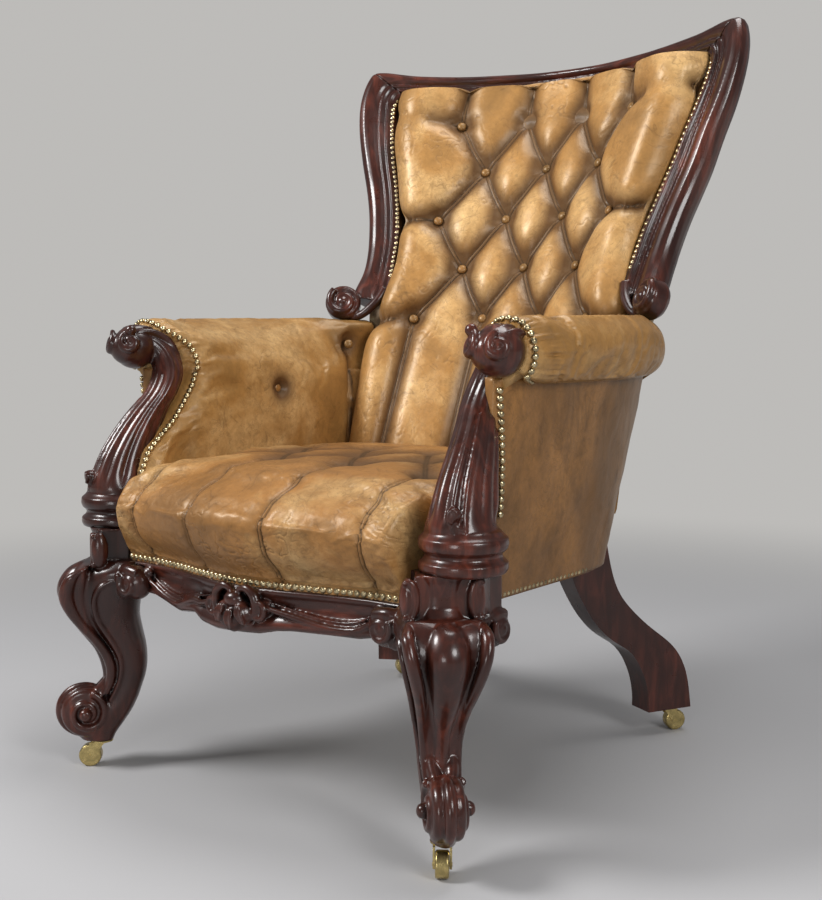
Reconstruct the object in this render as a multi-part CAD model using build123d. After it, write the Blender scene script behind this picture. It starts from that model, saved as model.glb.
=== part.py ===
from build123d import *
from math import cos, hypot, pi, radians, sin, sqrt, tan
import os

# Library armchair: carved mahogany show frame, buttoned leather over a sprung seat,
# on four brass castors. X runs to the sitter's left, Y to the back, Z up.
# While it is built, Y is zero at the front castor stems and Z is zero on the floor.

# Overall places of the frame
FRONT_STEM_X = 301.0
REAR_STEM_X = 266.0
REAR_STEM_Y = 637.0
FOOT_Z = 38.0
RAIL_BOTTOM = 297.0
RAIL_TOP = 345.0
RAIL_THICK = 30.0

# Clearances and the overrun that cuts share
RUN_CLEAR = 0.06
SOFT_CLEAR = 0.4
OVERRUN = 5.0

# Front legs
LEG_HEIGHT = RAIL_TOP - FOOT_Z
LEG_REACH = 61.0
LEG_HALF_WIDTH = 56.0
TOE_RADIUS = 39.0
TOE_CENTRE_OUT = 20.0
TOE_CENTRE_UP = 42.0
TOE_HALF_WIDTH = 29.0
TOE_BOSS_RADIUS = 15.0
TOE_BOSS_PROUD = 6.0
BLOCK_HEIGHT = 48.0
KNEE_LOBE_RADIUS = 16.0
KNEE_LOBE_LENGTH = 34.0

# Rear legs
REAR_LEG_SIDE = 45.0
REAR_LEG_TURN = 28.0
REAR_LEG_HEIGHT = RAIL_TOP - FOOT_Z
REAR_LEG_REACH = 200.0

# Front rail
FRONT_RAIL_HALF = 262.0
FRONT_NAIL_SHARE = 0.925
RAIL_SWELL_SHARE = 1.25
FRONT_RAIL_BOW = 32.0
FRONT_RAIL_FACE_Y = 9.0
FRONT_RAIL_THICK = 34.0
FRONT_RAIL_DROP = 106.0
REBATE_DEPTH = 4.0
REBATE_HEIGHT = 42.0
SPRAY_RADIUS = 21.0
SPRAY_LENGTH = 74.0

# Arm supports
COLLAR_HALF = 50.0
COLLAR_HEIGHT = 45.0
ARM_SUPPORT_TOP = 637.0
ARM_SWEEP = 90.0
SCROLL_RADIUS = 35.0
SCROLL_X = 317.0
SCROLL_Y = 93.0
SCROLL_Z = 600.0

# Arms
ARM_INNER_X = 246.0
ARM_ROLL_RADIUS = 40.0
ARM_ROLL_Z = 598.0
ARM_SEAT_Z = 352.0
ARM_FRONT_Y = 122.0
ARM_REAR_Y = 446.0
ARM_ROLL_END_X = 272.0
ARM_ROLL_END_Y = 524.0
ARM_RAIL_SIDE = 26.0
PANEL_TOP_Z = 556.0
PANEL_THICK = 2.5

# Back
STILE_DEPTH = 42.0
BACK_RAKE = 22.6
PLAN_RADIUS = 293.0
BACK_LOW_Z = 402.0
BACK_HIGH_Z = 1040.0
BACK_LOW_Y = 487.0
PAD_CORNER = 44.0
PAD_SIDE_SHARE = 0.6
PAD_DEPTH = 46.0
POST_SIDE = 34.0

# Leather, stuffing and tufting
LEATHER = 2.0
WADDING = 10.0
TUFT_DEPTH = 18.0
TUFT_FLOOR = 9.5
TUFT_MOUTH = 22.0
BUTTON_RADIUS = 8.0
BUTTON_HEIGHT = 6.0
PLEAT_RADIUS = 4.5

# Seat
SEAT_HALF = 238.0
SEAT_FRONT_Y = 0.0
SEAT_BOW = 52.0
SEAT_REAR_Y = 425.0
SEAT_REAR_BOW = 56.0
SEAT_LOW = 352.0
SEAT_CROWN = 447.0
SEAT_TUFT_RADIUS = 26.0
SEAT_TUFT_DEPTH = 9.0

# Springing
WEB_WIDTH = 50.0
WEB_THICK = 1.6
SPRING_RADIUS = 32.0
SPRING_WIRE = 2.0
SPRING_TURNS = 4

# Nails
NAIL_RADIUS = 4.3
NAIL_PITCH = 9.2
NAIL_SHANK = 0.9
NAIL_SHANK_LENGTH = 7.0

# Castors
WHEEL_RADIUS = 16.0
WHEEL_WIDTH = 16.0
WHEEL_CLEAR = 0.5
TRAIL = 17.0
AXLE_RADIUS = 2.5
FORK_THICK = 2.5
FORK_CROWN = 2.2
FORK_CROWN_RADIUS = 9.0
STEM_RADIUS = 4.0
STEM_LENGTH = 24.0
PLATE_RADIUS = 15.0
PLATE_THICK = 2.0
SCREW_RADIUS = 2.2
SCREW_LENGTH = 12.0

Z_AXIS = Vector(0, 0, 1)


def solid_of(shape):
    """One solid from the result of a cut or a join."""
    found = shape.solids()
    return max(found, key=lambda part: part.volume)


def polygon(points):
    return Wire.make_polygon([Vector(*point) for point in points])


def prism(points, low, high):
    """A straight block on a plan outline."""
    face = Face(polygon([(x, y, low) for x, y in points]))
    return Solid.extrude(face, Vector(0, 0, high - low))


def bar(start, end, radius):
    """A round bar between two points."""
    run = end - start
    plane = Plane(origin=start, z_dir=run)
    return Solid.make_cylinder(radius, run.length, plane)


def cut(body, *tools):
    for tool in tools:
        body = solid_of(body - tool)
    return body


def join(body, *others):
    for other in others:
        body = solid_of(body + other)
    return body


def mirrored(shape):
    return shape.mirror(Plane.YZ)


# Front leg, drawn on the plane that points outward at half a right angle
OUT = Vector(sqrt(0.5), -sqrt(0.5), 0)
LEG_AXIS = Vector(FRONT_STEM_X, 0, 0)

# Height share, back share, front share and half width share of each section
LEG_SECTION_SHARES = [
    (0.000, -0.20, 0.50, 0.33),
    (0.080, -0.42, 0.50, 0.40),
    (0.165, -0.72, 0.42, 0.46),
    (0.250, -0.93, 0.00, 0.48),
    (0.310, -1.03, -0.07, 0.49),
    (0.375, -1.06, -0.07, 0.54),
    (0.430, -1.04, 0.02, 0.60),
    (0.490, -0.98, 0.24, 0.68),
    (0.550, -0.93, 0.50, 0.76),
    (0.610, -0.92, 0.74, 0.83),
    (0.670, -0.94, 0.89, 0.90),
    (0.725, -1.00, 0.93, 0.96),
    (0.785, -1.10, 0.84, 0.98),
    (0.850, -1.22, 0.56, 0.93),
]

# Plan of the block over the knee, as shares of the block's half size from its stem
BLOCK_HALF = 42.0
BLOCK_PLAN_SHARES = [
    (-0.57, -0.55),
    (0.79, 0.79),
    (0.55, 1.40),
    (0.55, 2.05),
    (-1.21, 2.05),
    (-1.21, 0.29),
    (-0.98, 0.05),
]


def block_plan(grow=0.0):
    half = BLOCK_HALF + grow
    return [(FRONT_STEM_X + half * a, half * b) for a, b in BLOCK_PLAN_SHARES]


def leg_section(share):
    up, back, front, width = share
    middle = (back + front) / 2 * LEG_REACH
    deep = (front - back) / 2 * LEG_REACH
    origin = LEG_AXIS + OUT * middle + Z_AXIS * (FOOT_Z + up * LEG_HEIGHT)
    plane = Plane(origin=origin, x_dir=OUT, z_dir=Z_AXIS)
    return Wire.make_ellipse(deep, width * LEG_HALF_WIDTH, plane)


def toe_scroll():
    centre = LEG_AXIS + OUT * TOE_CENTRE_OUT + Z_AXIS * (FOOT_Z + TOE_CENTRE_UP)
    across = OUT.cross(Z_AXIS)
    roll = bar(centre - across * TOE_HALF_WIDTH, centre + across * TOE_HALF_WIDTH, TOE_RADIUS)
    reach = TOE_HALF_WIDTH + TOE_BOSS_PROUD
    boss = bar(centre - across * reach, centre + across * reach, TOE_BOSS_RADIUS)
    return join(roll, boss)


def knee_lobe(turn):
    """A carved oval lobe on the block, one each side of its canted face."""
    across = OUT.cross(Z_AXIS) * turn
    centre = LEG_AXIS + across * BLOCK_HALF - OUT * KNEE_LOBE_RADIUS
    low = centre + Z_AXIS * (RAIL_BOTTOM - KNEE_LOBE_LENGTH / 2)
    return bar(low, low + Z_AXIS * KNEE_LOBE_LENGTH, KNEE_LOBE_RADIUS)


def front_leg():
    body = Solid.make_loft([leg_section(share) for share in LEG_SECTION_SHARES])
    block = prism(block_plan(), RAIL_TOP - BLOCK_HEIGHT, RAIL_TOP)
    leg = join(body, block, toe_scroll(), knee_lobe(1), knee_lobe(-1))
    hole = bar(LEG_AXIS, LEG_AXIS + Z_AXIS * (FOOT_Z + STEM_LENGTH), STEM_RADIUS + RUN_CLEAR)
    return cut(leg, hole)


# Side profile of the plain rear leg: share of its reach behind the stem, share of height
REAR_FRONT_SHARES = [
    (-0.22, 0.00),
    (-0.23, 0.10),
    (-0.29, 0.22),
    (-0.40, 0.32),
    (-0.56, 0.39),
    (-0.72, 0.49),
    (-0.84, 0.61),
    (-0.92, 0.72),
    (-0.99, 1.00),
]
REAR_BACK_SHARES = [
    (-0.66, 1.00),
    (-0.58, 0.75),
    (-0.50, 0.62),
    (-0.37, 0.52),
    (-0.19, 0.42),
    (0.00, 0.32),
    (0.10, 0.22),
    (0.15, 0.10),
    (0.17, 0.00),
]
REAR_OUT = Vector(sin(radians(REAR_LEG_TURN)), cos(radians(REAR_LEG_TURN)), 0)
REAR_ACROSS = Vector(REAR_OUT.Y, -REAR_OUT.X, 0)
REAR_AXIS = Vector(REAR_STEM_X, REAR_STEM_Y, 0)


def rear_leg_point(share):
    out, up = share
    side = REAR_ACROSS * (REAR_LEG_SIDE / 2)
    return REAR_AXIS - side + REAR_OUT * (out * REAR_LEG_REACH) + Z_AXIS * (FOOT_Z + up * REAR_LEG_HEIGHT)


def rear_leg():
    front = [rear_leg_point(share) for share in REAR_FRONT_SHARES]
    back = [rear_leg_point(share) for share in REAR_BACK_SHARES]
    edges = [
        Edge.make_spline(front),
        Edge.make_line(front[-1], back[0]),
        Edge.make_spline(back),
        Edge.make_line(back[-1], front[0]),
    ]
    face = Face(Wire(edges))
    body = Solid.extrude(face, REAR_ACROSS * REAR_LEG_SIDE)
    hole = bar(REAR_AXIS, REAR_AXIS + Z_AXIS * (FOOT_Z + STEM_LENGTH), STEM_RADIUS + RUN_CLEAR)
    return cut(body, hole)


# Rails
RAIL_PLAN_SHARES = [(0.0, 0.0), (0.0, 0.62), (-0.05, 0.80), (-0.17, 0.93), (-0.31, 1.02)]
SIDE_RAIL_X = 293.0
SIDE_RAIL_START = 80.0
SIDE_RAIL_RUN = 400.0


def rail_line(inset):
    """Plan points along the side rail, from the front block round to the rear leg."""
    points = []
    for across, along in RAIL_PLAN_SHARES:
        x = SIDE_RAIL_X + across * (SIDE_RAIL_X - inset) - inset
        y = SIDE_RAIL_START + along * SIDE_RAIL_RUN - inset * along * abs(across) * 2
        points.append((x, y))
    return points


def side_rail(leg_front, leg_rear):
    plan = rail_line(0.0) + rail_line(RAIL_THICK)[::-1]
    return cut(prism(plan, RAIL_BOTTOM, RAIL_TOP), leg_front, leg_rear)


BACK_RAIL_PLAN_SHARES = [(1.0, 0.0), (0.5, 0.62), (0.0, 0.83), (-0.5, 0.62), (-1.0, 0.0)]
BACK_RAIL_HALF = 205.0
BACK_RAIL_Y = 520.0


def back_rail_line(inset):
    return [
        (BACK_RAIL_HALF * a, BACK_RAIL_Y + RAIL_THICK * b - inset)
        for a, b in BACK_RAIL_PLAN_SHARES
    ]


def back_rail(legs):
    plan = back_rail_line(0.0) + back_rail_line(RAIL_THICK)[::-1]
    return cut(prism(plan, RAIL_BOTTOM, RAIL_TOP), *legs)


def front_face_y(x, inset=0.0):
    """Face of the bowed front rail: a smooth swell between its two ends."""
    share = min(abs(x) / FRONT_RAIL_HALF * RAIL_SWELL_SHARE, 1.0)
    return FRONT_RAIL_FACE_Y - FRONT_RAIL_BOW * cos(share * pi / 2) ** 2 + inset


# Bottom edge of the front rail: share of half length, share of its drop
RAIL_EDGE_SHARES = [
    (-1.00, 0.82),
    (-0.86, 0.78),
    (-0.71, 0.80),
    (-0.50, 0.92),
    (-0.34, 0.86),
    (-0.20, 0.98),
    (0.00, 1.00),
    (0.20, 0.98),
    (0.34, 0.86),
    (0.50, 0.92),
    (0.71, 0.80),
    (0.86, 0.78),
    (1.00, 0.82),
]
BOW_STEPS = 8


def bowed_plan(half, front_inset, thick):
    steps = [half * (2 * i / BOW_STEPS - 1) for i in range(BOW_STEPS + 1)]
    front = [Vector(x, front_face_y(x, front_inset), 0) for x in steps]
    back = [Vector(x, FRONT_RAIL_FACE_Y + thick, 0) for x in (half, -half)]
    edges = [
        Edge.make_spline(front),
        Edge.make_line(front[-1], back[0]),
        Edge.make_line(back[0], back[1]),
        Edge.make_line(back[1], front[0]),
    ]
    return Face(Wire(edges))


def front_rail(legs):
    height = FRONT_RAIL_DROP
    body = Solid.extrude(bowed_plan(FRONT_RAIL_HALF, 0.0, FRONT_RAIL_THICK), Z_AXIS * height)
    body = body.moved(Location((0, 0, RAIL_TOP - height)))
    edge = [
        (FRONT_RAIL_HALF * a, -FRONT_RAIL_HALF, RAIL_TOP - b * height)
        for a, b in RAIL_EDGE_SHARES
    ]
    below = RAIL_TOP - height - OVERRUN
    outline = [(-FRONT_RAIL_HALF - OVERRUN, -FRONT_RAIL_HALF, below)]
    outline.append((-FRONT_RAIL_HALF - OVERRUN, -FRONT_RAIL_HALF, edge[0][2]))
    outline += edge
    outline.append((FRONT_RAIL_HALF + OVERRUN, -FRONT_RAIL_HALF, edge[-1][2]))
    outline.append((FRONT_RAIL_HALF + OVERRUN, -FRONT_RAIL_HALF, below))
    under = Solid.extrude(Face(polygon(outline)), Vector(0, 2 * FRONT_RAIL_HALF, 0))
    rebate = Solid.extrude(
        bowed_plan(FRONT_RAIL_HALF + OVERRUN, -FRONT_RAIL_BOW, FRONT_RAIL_THICK), Z_AXIS * REBATE_HEIGHT
    )
    kept = Solid.extrude(
        bowed_plan(FRONT_RAIL_HALF + 2 * OVERRUN, REBATE_DEPTH, 2 * FRONT_RAIL_THICK), Z_AXIS * REBATE_HEIGHT
    )
    rebate = (rebate - kept).moved(Location((0, 0, RAIL_TOP - REBATE_HEIGHT)))
    body = cut(body, under, rebate)
    centre = Vector(0, front_face_y(0), RAIL_TOP - REBATE_HEIGHT - SPRAY_RADIUS - SOFT_CLEAR)
    half = Vector(SPRAY_LENGTH / 2, 0, 0)
    spray = bar(centre - half, centre + half, SPRAY_RADIUS)
    return cut(join(body, spray), *legs)


BRACKET_START_SHARE = 0.6


def knee_bracket(leg, rail):
    """Shaped block glued into the corner between the front leg and the side rail."""
    top = RAIL_BOTTOM
    start = BLOCK_HALF * BLOCK_PLAN_SHARES[3][1] * BRACKET_START_SHARE
    reach = BLOCK_HALF
    x = SIDE_RAIL_X - RAIL_THICK
    outline = [
        (x, start, top),
        (x, start + 2 * reach, top),
        (x, start + reach, top - reach / 3),
        (x, start, top - reach),
    ]
    body = Solid.extrude(Face(polygon(outline)), Vector(RAIL_THICK, 0, 0))
    return cut(body, leg, rail)


CORNER_BLOCK = 46.0


def corner_blocks(solids):
    """Glue blocks in the four corners of the seat frame."""
    blocks = []
    front_y = FRONT_RAIL_FACE_Y + FRONT_RAIL_THICK
    side_x = SIDE_RAIL_X - RAIL_THICK
    x_in = side_x - CORNER_BLOCK
    front = [
        (side_x, front_y),
        (x_in, front_y),
        (side_x - CORNER_BLOCK / 2, front_y + CORNER_BLOCK * 2),
        (side_x, front_y + CORNER_BLOCK * 2),
    ]
    rear_y = BACK_RAIL_Y - RAIL_THICK
    leg_x = REAR_STEM_X + REAR_OUT.X * REAR_LEG_REACH * REAR_FRONT_SHARES[-1][0]
    rear = [
        (leg_x, rear_y + RAIL_THICK / 2),
        (leg_x - CORNER_BLOCK, rear_y + RAIL_THICK / 2),
        (leg_x - CORNER_BLOCK / 2, rear_y - CORNER_BLOCK / 2),
        (leg_x, rear_y - CORNER_BLOCK),
    ]
    for plan in (front, rear):
        block = cut(prism(plan, RAIL_BOTTOM, RAIL_TOP - OVERRUN), *solids)
        blocks += [block, mirrored(block)]
    return blocks


# Arm support: height share, sweep share, half depth share, half width share, x shift share
SUPPORT_SHARES = [
    (0.00, 0.50, 1.00, 1.00, 0.00),
    (0.05, 0.51, 1.04, 1.04, 0.00),
    (0.09, 0.50, 0.92, 0.92, 0.00),
    (0.13, 0.50, 1.00, 1.00, 0.00),
    (0.17, 0.50, 0.88, 0.84, -0.02),
    (0.26, 0.46, 0.90, 0.62, -0.05),
    (0.36, 0.50, 0.92, 0.54, -0.08),
    (0.46, 0.68, 0.78, 0.50, -0.12),
    (0.55, 0.93, 0.58, 0.45, -0.20),
    (0.65, 1.20, 0.44, 0.42, -0.30),
    (0.74, 1.38, 0.42, 0.43, -0.26),
    (0.82, 1.38, 0.46, 0.46, -0.10),
    (0.89, 1.24, 0.52, 0.52, 0.10),
]


def support_section(share):
    up, sweep, deep, wide, shift = share
    height = RAIL_TOP + up * (ARM_SUPPORT_TOP - RAIL_TOP)
    x = FRONT_STEM_X + shift * ARM_SWEEP
    origin = Vector(x, sweep * ARM_SWEEP - LEG_REACH / 10, height)
    return Wire.make_ellipse(wide * COLLAR_HALF, deep * COLLAR_HALF, Plane(origin=origin))


def arm_support():
    body = Solid.make_loft([support_section(share) for share in SUPPORT_SHARES])
    ball = Solid.make_sphere(SCROLL_RADIUS, Plane((SCROLL_X, SCROLL_Y, SCROLL_Z)))
    return join(body, ball)


# Arm: share along, shift of the roll, shift of the wall below it
ARM_STATIONS_SHARES = [
    (0.00, 0.00, 0.00),
    (0.30, 0.12, 0.00),
    (0.60, 0.20, 0.00),
    (0.85, 0.00, -0.40),
    (1.00, -0.35, -0.80),
]
ARM_SHIFT = 45.0


def arm_section(share, inset):
    """One cross section of the padded arm: a tall wall under an outward roll."""
    along, shift, wall = share
    y = ARM_FRONT_Y + along * (ARM_REAR_Y - ARM_FRONT_Y)
    if along == 0:
        y += inset
    if along == 1:
        y -= inset
    roll_x = SCROLL_X + shift * ARM_SHIFT
    inner = ARM_INNER_X + inset
    wall_out = SIDE_RAIL_X + wall * ARM_SHIFT - inset - SOFT_CLEAR
    low = ARM_SEAT_Z + inset
    radius = ARM_ROLL_RADIUS - inset
    top = ARM_ROLL_Z + radius
    inner_high = ARM_ROLL_Z - radius / 2
    under = PANEL_TOP_Z + inset
    p1 = Vector(inner, y, low)
    p2 = Vector(inner + OVERRUN, y, inner_high)
    p3 = Vector(roll_x, y, top)
    p4 = Vector(roll_x + radius, y, ARM_ROLL_Z)
    p5 = Vector(roll_x, y, under)
    p6 = Vector(wall_out, y, under)
    p7 = Vector(wall_out, y, low)
    lift = radius * (1 - sqrt(0.5))
    mid = Vector(roll_x - radius * sqrt(0.5) - lift, y, top - lift)
    mid2 = Vector(roll_x + radius * sqrt(0.5), y, ARM_ROLL_Z + radius * sqrt(0.5))
    mid3 = Vector(roll_x + radius * sqrt(0.5), y, ARM_ROLL_Z - radius * sqrt(0.5))
    edges = [
        Edge.make_line(p1, p2),
        Edge.make_three_point_arc(p2, mid, p3),
        Edge.make_three_point_arc(p3, mid2, p4),
        Edge.make_three_point_arc(p4, mid3, p5),
        Edge.make_line(p5, p6),
        Edge.make_line(p6, p7),
        Edge.make_line(p7, p1),
    ]
    return Wire(edges)


def arm_form(inset):
    """The padded arm, with the end of its roll running on to the back."""
    body = Solid.make_loft([arm_section(share, inset) for share in ARM_STATIONS_SHARES], True)
    start = Vector(SCROLL_X + ARM_STATIONS_SHARES[-1][1] * ARM_SHIFT, ARM_REAR_Y - OVERRUN, ARM_ROLL_Z)
    end = Vector(ARM_ROLL_END_X, ARM_ROLL_END_Y - inset, ARM_ROLL_Z)
    return join(body, bar(start, end, ARM_ROLL_RADIUS - inset - WHEEL_CLEAR))


ARM_BUTTON_Y = 316.0
ARM_BUTTON_Z = 531.0
INWARD = Vector(-1, 0, 0)


def dimple(base, normal, extra=0.0):
    """Funnel that a button pulls into a pad, with a flat floor for the button."""
    depth = TUFT_DEPTH + OVERRUN
    plane = Plane(origin=base - normal * extra, z_dir=normal)
    return Solid.make_cone(TUFT_FLOOR + extra, TUFT_MOUTH + extra, depth + extra, plane)


def button(base, normal):
    """Leather covered button with a domed face."""
    plane = Plane(origin=base, z_dir=normal)
    body = Solid.make_cylinder(BUTTON_RADIUS, BUTTON_HEIGHT, plane)
    edges = body.edges().sort_by(Axis(base, normal))
    return body.fillet(BUTTON_HEIGHT / 2, [edges[-1]])


def arm_button_places():
    low = Vector(ARM_INNER_X + OVERRUN / 2 + TUFT_DEPTH / 2, ARM_BUTTON_Y, ARM_BUTTON_Z)
    return [low]


def arm_pads():
    """Leather shell and stuffing of one arm, with its button pulled in."""
    outer = arm_form(0.0)
    inner = arm_form(LEATHER)
    core = arm_form(LEATHER + SOFT_CLEAR)
    for base in arm_button_places():
        outer = cut(outer, dimple(base, INWARD))
        inner = cut(inner, dimple(base, INWARD, LEATHER))
        core = cut(core, dimple(base, INWARD, LEATHER + SOFT_CLEAR))
    return cut(outer, inner), core


def arm_rail():
    """Beech rail inside the roll, from the arm support to the back post."""
    points = []
    for along, shift, wall in ARM_STATIONS_SHARES:
        y = ARM_FRONT_Y + along * (ARM_REAR_Y - ARM_FRONT_Y)
        points.append(Vector(SCROLL_X + shift * ARM_SHIFT, y, ARM_ROLL_Z))
    points[0] = points[0] - Vector(0, SCROLL_RADIUS, 0)
    points.append(Vector(ARM_ROLL_END_X, ARM_ROLL_END_Y + ARM_RAIL_SIDE, ARM_ROLL_Z))
    half = ARM_RAIL_SIDE / 2
    wires = []
    for place in points:
        corners = [(-half, -half), (half, -half), (half, half), (-half, half)]
        wires.append(polygon([(place.X + a, place.Y, place.Z + b) for a, b in corners]))
    return Solid.make_loft(wires, True)


# Back show frame. Height share, x share and lean share of its inner edge, then of its outer edge
STILE_X = 361.0
STILE_LOW_Y = 553.0
STILE_LEAN = 132.0
STILE_LOW_Z = 686.0
STILE_RISE = 386.0
STILE_SHARES = [
    (0.000, 0.615, 0.061, 0.000, 0.803, 0.000),
    (0.073, 0.620, 0.167, 0.085, 0.801, 0.182),
    (0.223, 0.643, 0.371, 0.168, 0.809, 0.295),
    (0.298, 0.662, 0.462, 0.269, 0.831, 0.402),
    (0.376, 0.684, 0.545, 0.360, 0.859, 0.492),
    (0.484, 0.720, 0.644, 0.464, 0.895, 0.568),
    (0.593, 0.756, 0.712, 0.585, 0.934, 0.614),
    (0.687, 0.787, 0.795, 0.697, 0.970, 0.674),
    (0.767, 0.809, 0.879, 0.777, 0.989, 0.720),
    (0.847, 0.825, 0.962, 0.858, 1.000, 0.780),
    (0.909, 0.820, 1.053, 0.935, 0.994, 0.871),
    (0.969, 0.800, 1.160, 1.030, 0.956, 1.000),
]
# Moulded section of the stile: share across its face, share of its depth
STILE_SECTION_SHARES = [
    (0.00, 0.00),
    (0.22, -0.10),
    (0.34, -0.02),
    (0.62, -0.22),
    (0.90, -0.10),
    (1.00, 0.18),
    (0.90, 0.75),
    (0.45, 1.00),
    (0.02, 0.90),
]
RAKE = radians(BACK_RAKE)
BACKWARD = Vector(0, cos(RAKE), -sin(RAKE))
UPWARD = Vector(0, sin(RAKE), cos(RAKE))
VOLUTE_RADIUS = 29.0
VOLUTE_X = 285.0
VOLUTE_Y = 512.0
VOLUTE_Z = 668.0
VOLUTE_EYE = 9.0


def stile_edges(share):
    up_in, x_in, y_in, up_out, x_out, y_out = share
    inner = Vector(x_in * STILE_X, STILE_LOW_Y + y_in * STILE_LEAN, STILE_LOW_Z + up_in * STILE_RISE)
    outer = Vector(x_out * STILE_X, STILE_LOW_Y + y_out * STILE_LEAN, STILE_LOW_Z + up_out * STILE_RISE)
    return inner, outer


def stile_section(share):
    inner, outer = stile_edges(share)
    across = outer - inner
    points = []
    for a, b in STILE_SECTION_SHARES:
        points.append(inner + across * a + BACKWARD * (b * STILE_DEPTH))
    return Wire.make_polygon(points)


def back_stile():
    body = Solid.make_loft([stile_section(share) for share in STILE_SHARES])
    eye = Vector(VOLUTE_X, VOLUTE_Y, VOLUTE_Z)
    volute = bar(eye, eye + BACKWARD * (2 * STILE_DEPTH), VOLUTE_RADIUS)
    boss = bar(eye - BACKWARD * OVERRUN, eye + BACKWARD * OVERRUN, VOLUTE_EYE)
    return join(body, volute, boss)


# Crest rail: x share, set back share, rise share of its face
CREST_HALF = 306.0
CREST_Y = 776.0
CREST_SWEEP = 96.0
CREST_LOW = 1034.0
CREST_FACE = 36.0
CREST_DEPTH = 38.0
CREST_SHARES = [
    (0.00, 0.00, 1.00),
    (0.25, -0.06, 1.00),
    (0.50, -0.21, 1.02),
    (0.75, -0.47, 1.10),
    (0.90, -0.66, 1.20),
    (1.00, -0.80, 1.30),
]
CREST_SECTION_SHARES = [
    (0.00, 0.00),
    (0.45, -0.12),
    (0.85, -0.06),
    (1.00, 0.15),
    (0.96, 0.80),
    (0.50, 1.00),
    (-0.05, 0.85),
]


def crest_section(side, share):
    across, back, rise = share
    origin = Vector(side * across * CREST_HALF, CREST_Y + back * CREST_SWEEP, CREST_LOW)
    points = []
    for a, b in CREST_SECTION_SHARES:
        points.append(origin + UPWARD * (a * rise * CREST_FACE) + BACKWARD * (b * CREST_DEPTH))
    return Wire.make_polygon(points)


def crest_rail(stiles):
    left = [crest_section(1, share) for share in CREST_SHARES]
    right = [crest_section(-1, share) for share in CREST_SHARES[:0:-1]]
    return cut(Solid.make_loft(right + left), *stiles)


# Pad of the back: height share, half width share, edge lean share, centre lean share, depth share
PAD_RISE = BACK_HIGH_Z - BACK_LOW_Z
PAD_HALF = 297.0
PAD_LEAN = 265.0
PAD_ARC_HALF = 172.0
PAD_SHARES = [
    (0.000, 0.770, -0.04, 0.00, 1.00),
    (0.150, 0.758, 0.05, 0.14, 1.00),
    (0.310, 0.740, 0.145, 0.30, 1.00),
    (0.450, 0.735, 0.28, 0.44, 1.00),
    (0.535, 0.740, 0.385, 0.53, 1.00),
    (0.625, 0.792, 0.480, 0.615, 1.00),
    (0.740, 0.862, 0.570, 0.732, 1.00),
    (0.860, 0.944, 0.645, 0.853, 0.80),
    (0.958, 0.990, 0.728, 0.951, 0.55),
    (1.000, 0.985, 0.775, 0.985, 0.45),
]


def pad_arc_drop(x):
    """How far the hollow back comes forward at a distance from its centre line."""
    return PLAN_RADIUS - sqrt(PLAN_RADIUS ** 2 - x ** 2)


def pad_row(share, inset, behind=0.0):
    up, half, edge, centre, deep = share
    z = BACK_LOW_Z + up * PAD_RISE
    if share is PAD_SHARES[0]:
        z += inset
    if share is PAD_SHARES[-1]:
        z -= inset
    half_width = half * PAD_HALF - inset
    edge_y = BACK_LOW_Y + edge * PAD_LEAN
    centre_y = BACK_LOW_Y + centre * PAD_LEAN
    side_y = edge_y + PAD_CORNER * PAD_SIDE_SHARE - inset
    rear_y = centre_y + deep * PAD_DEPTH - inset
    front = inset + behind
    return z, half_width, edge_y + front, centre_y + front, side_y, rear_y


def pad_section(share, inset, behind):
    z, half, edge_y, centre_y, side_y, rear_y = pad_row(share, inset, behind)
    arc_x = PAD_ARC_HALF
    arc_y = centre_y - pad_arc_drop(arc_x)
    left = Vector(-half, edge_y, z)
    right = Vector(half, edge_y, z)
    bend_left = Vector(-arc_x, arc_y, z)
    bend_right = Vector(arc_x, arc_y, z)
    puff = PAD_CORNER / 4
    mid_x = (half + arc_x) / 2 + puff / 3
    mid_y = (edge_y + arc_y) / 2 - puff
    edges = [
        Edge.make_three_point_arc(left, Vector(-mid_x, mid_y, z), bend_left),
        Edge.make_three_point_arc(bend_left, Vector(0, centre_y, z), bend_right),
        Edge.make_three_point_arc(bend_right, Vector(mid_x, mid_y, z), right),
        Edge.make_line(right, Vector(half, side_y, z)),
        Edge.make_three_point_arc(Vector(half, side_y, z), Vector(0, rear_y, z), Vector(-half, side_y, z)),
        Edge.make_line(Vector(-half, side_y, z), left),
    ]
    return Wire(edges)


def pad_form(inset, behind=0.0):
    """The hollow, raked pad, drawn in all round by an inset and again at its front."""
    return Solid.make_loft([pad_section(share, inset, behind) for share in PAD_SHARES], True)


# Buttons of the back: five rows in a diamond grid
BUTTON_TOP_Z = 973.0
BUTTON_ROW = 83.0
BUTTON_ROWS = 5
BUTTON_PITCH = 108.0
BUTTON_DEPTH_Y = 603.0
BUTTON_LOW_Z = 640.0
PLEAT_SINK = 0.72


def row_places(row):
    """Places across the chair of one row of buttons."""
    if row % 2 == 0:
        return [BUTTON_PITCH * step for step in (-1.5, -0.5, 0.5, 1.5)]
    return [BUTTON_PITCH * step for step in (-1.0, 0.0, 1.0)]


def tuft_frame(x, z):
    """Floor of a tuft and the direction in which the pad faces there."""
    y = BUTTON_DEPTH_Y + (z - BUTTON_LOW_Z) * tan(RAKE) - pad_arc_drop(x)
    flat = sqrt(PLAN_RADIUS ** 2 - x ** 2) / PLAN_RADIUS
    normal = Vector(-x / PLAN_RADIUS * cos(RAKE), -flat * cos(RAKE), sin(RAKE))
    return Vector(x, y, z), normal


def tuft_grid():
    return [
        (row, x, BUTTON_TOP_Z - row * BUTTON_ROW)
        for row in range(BUTTON_ROWS)
        for x in row_places(row)
    ]


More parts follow.
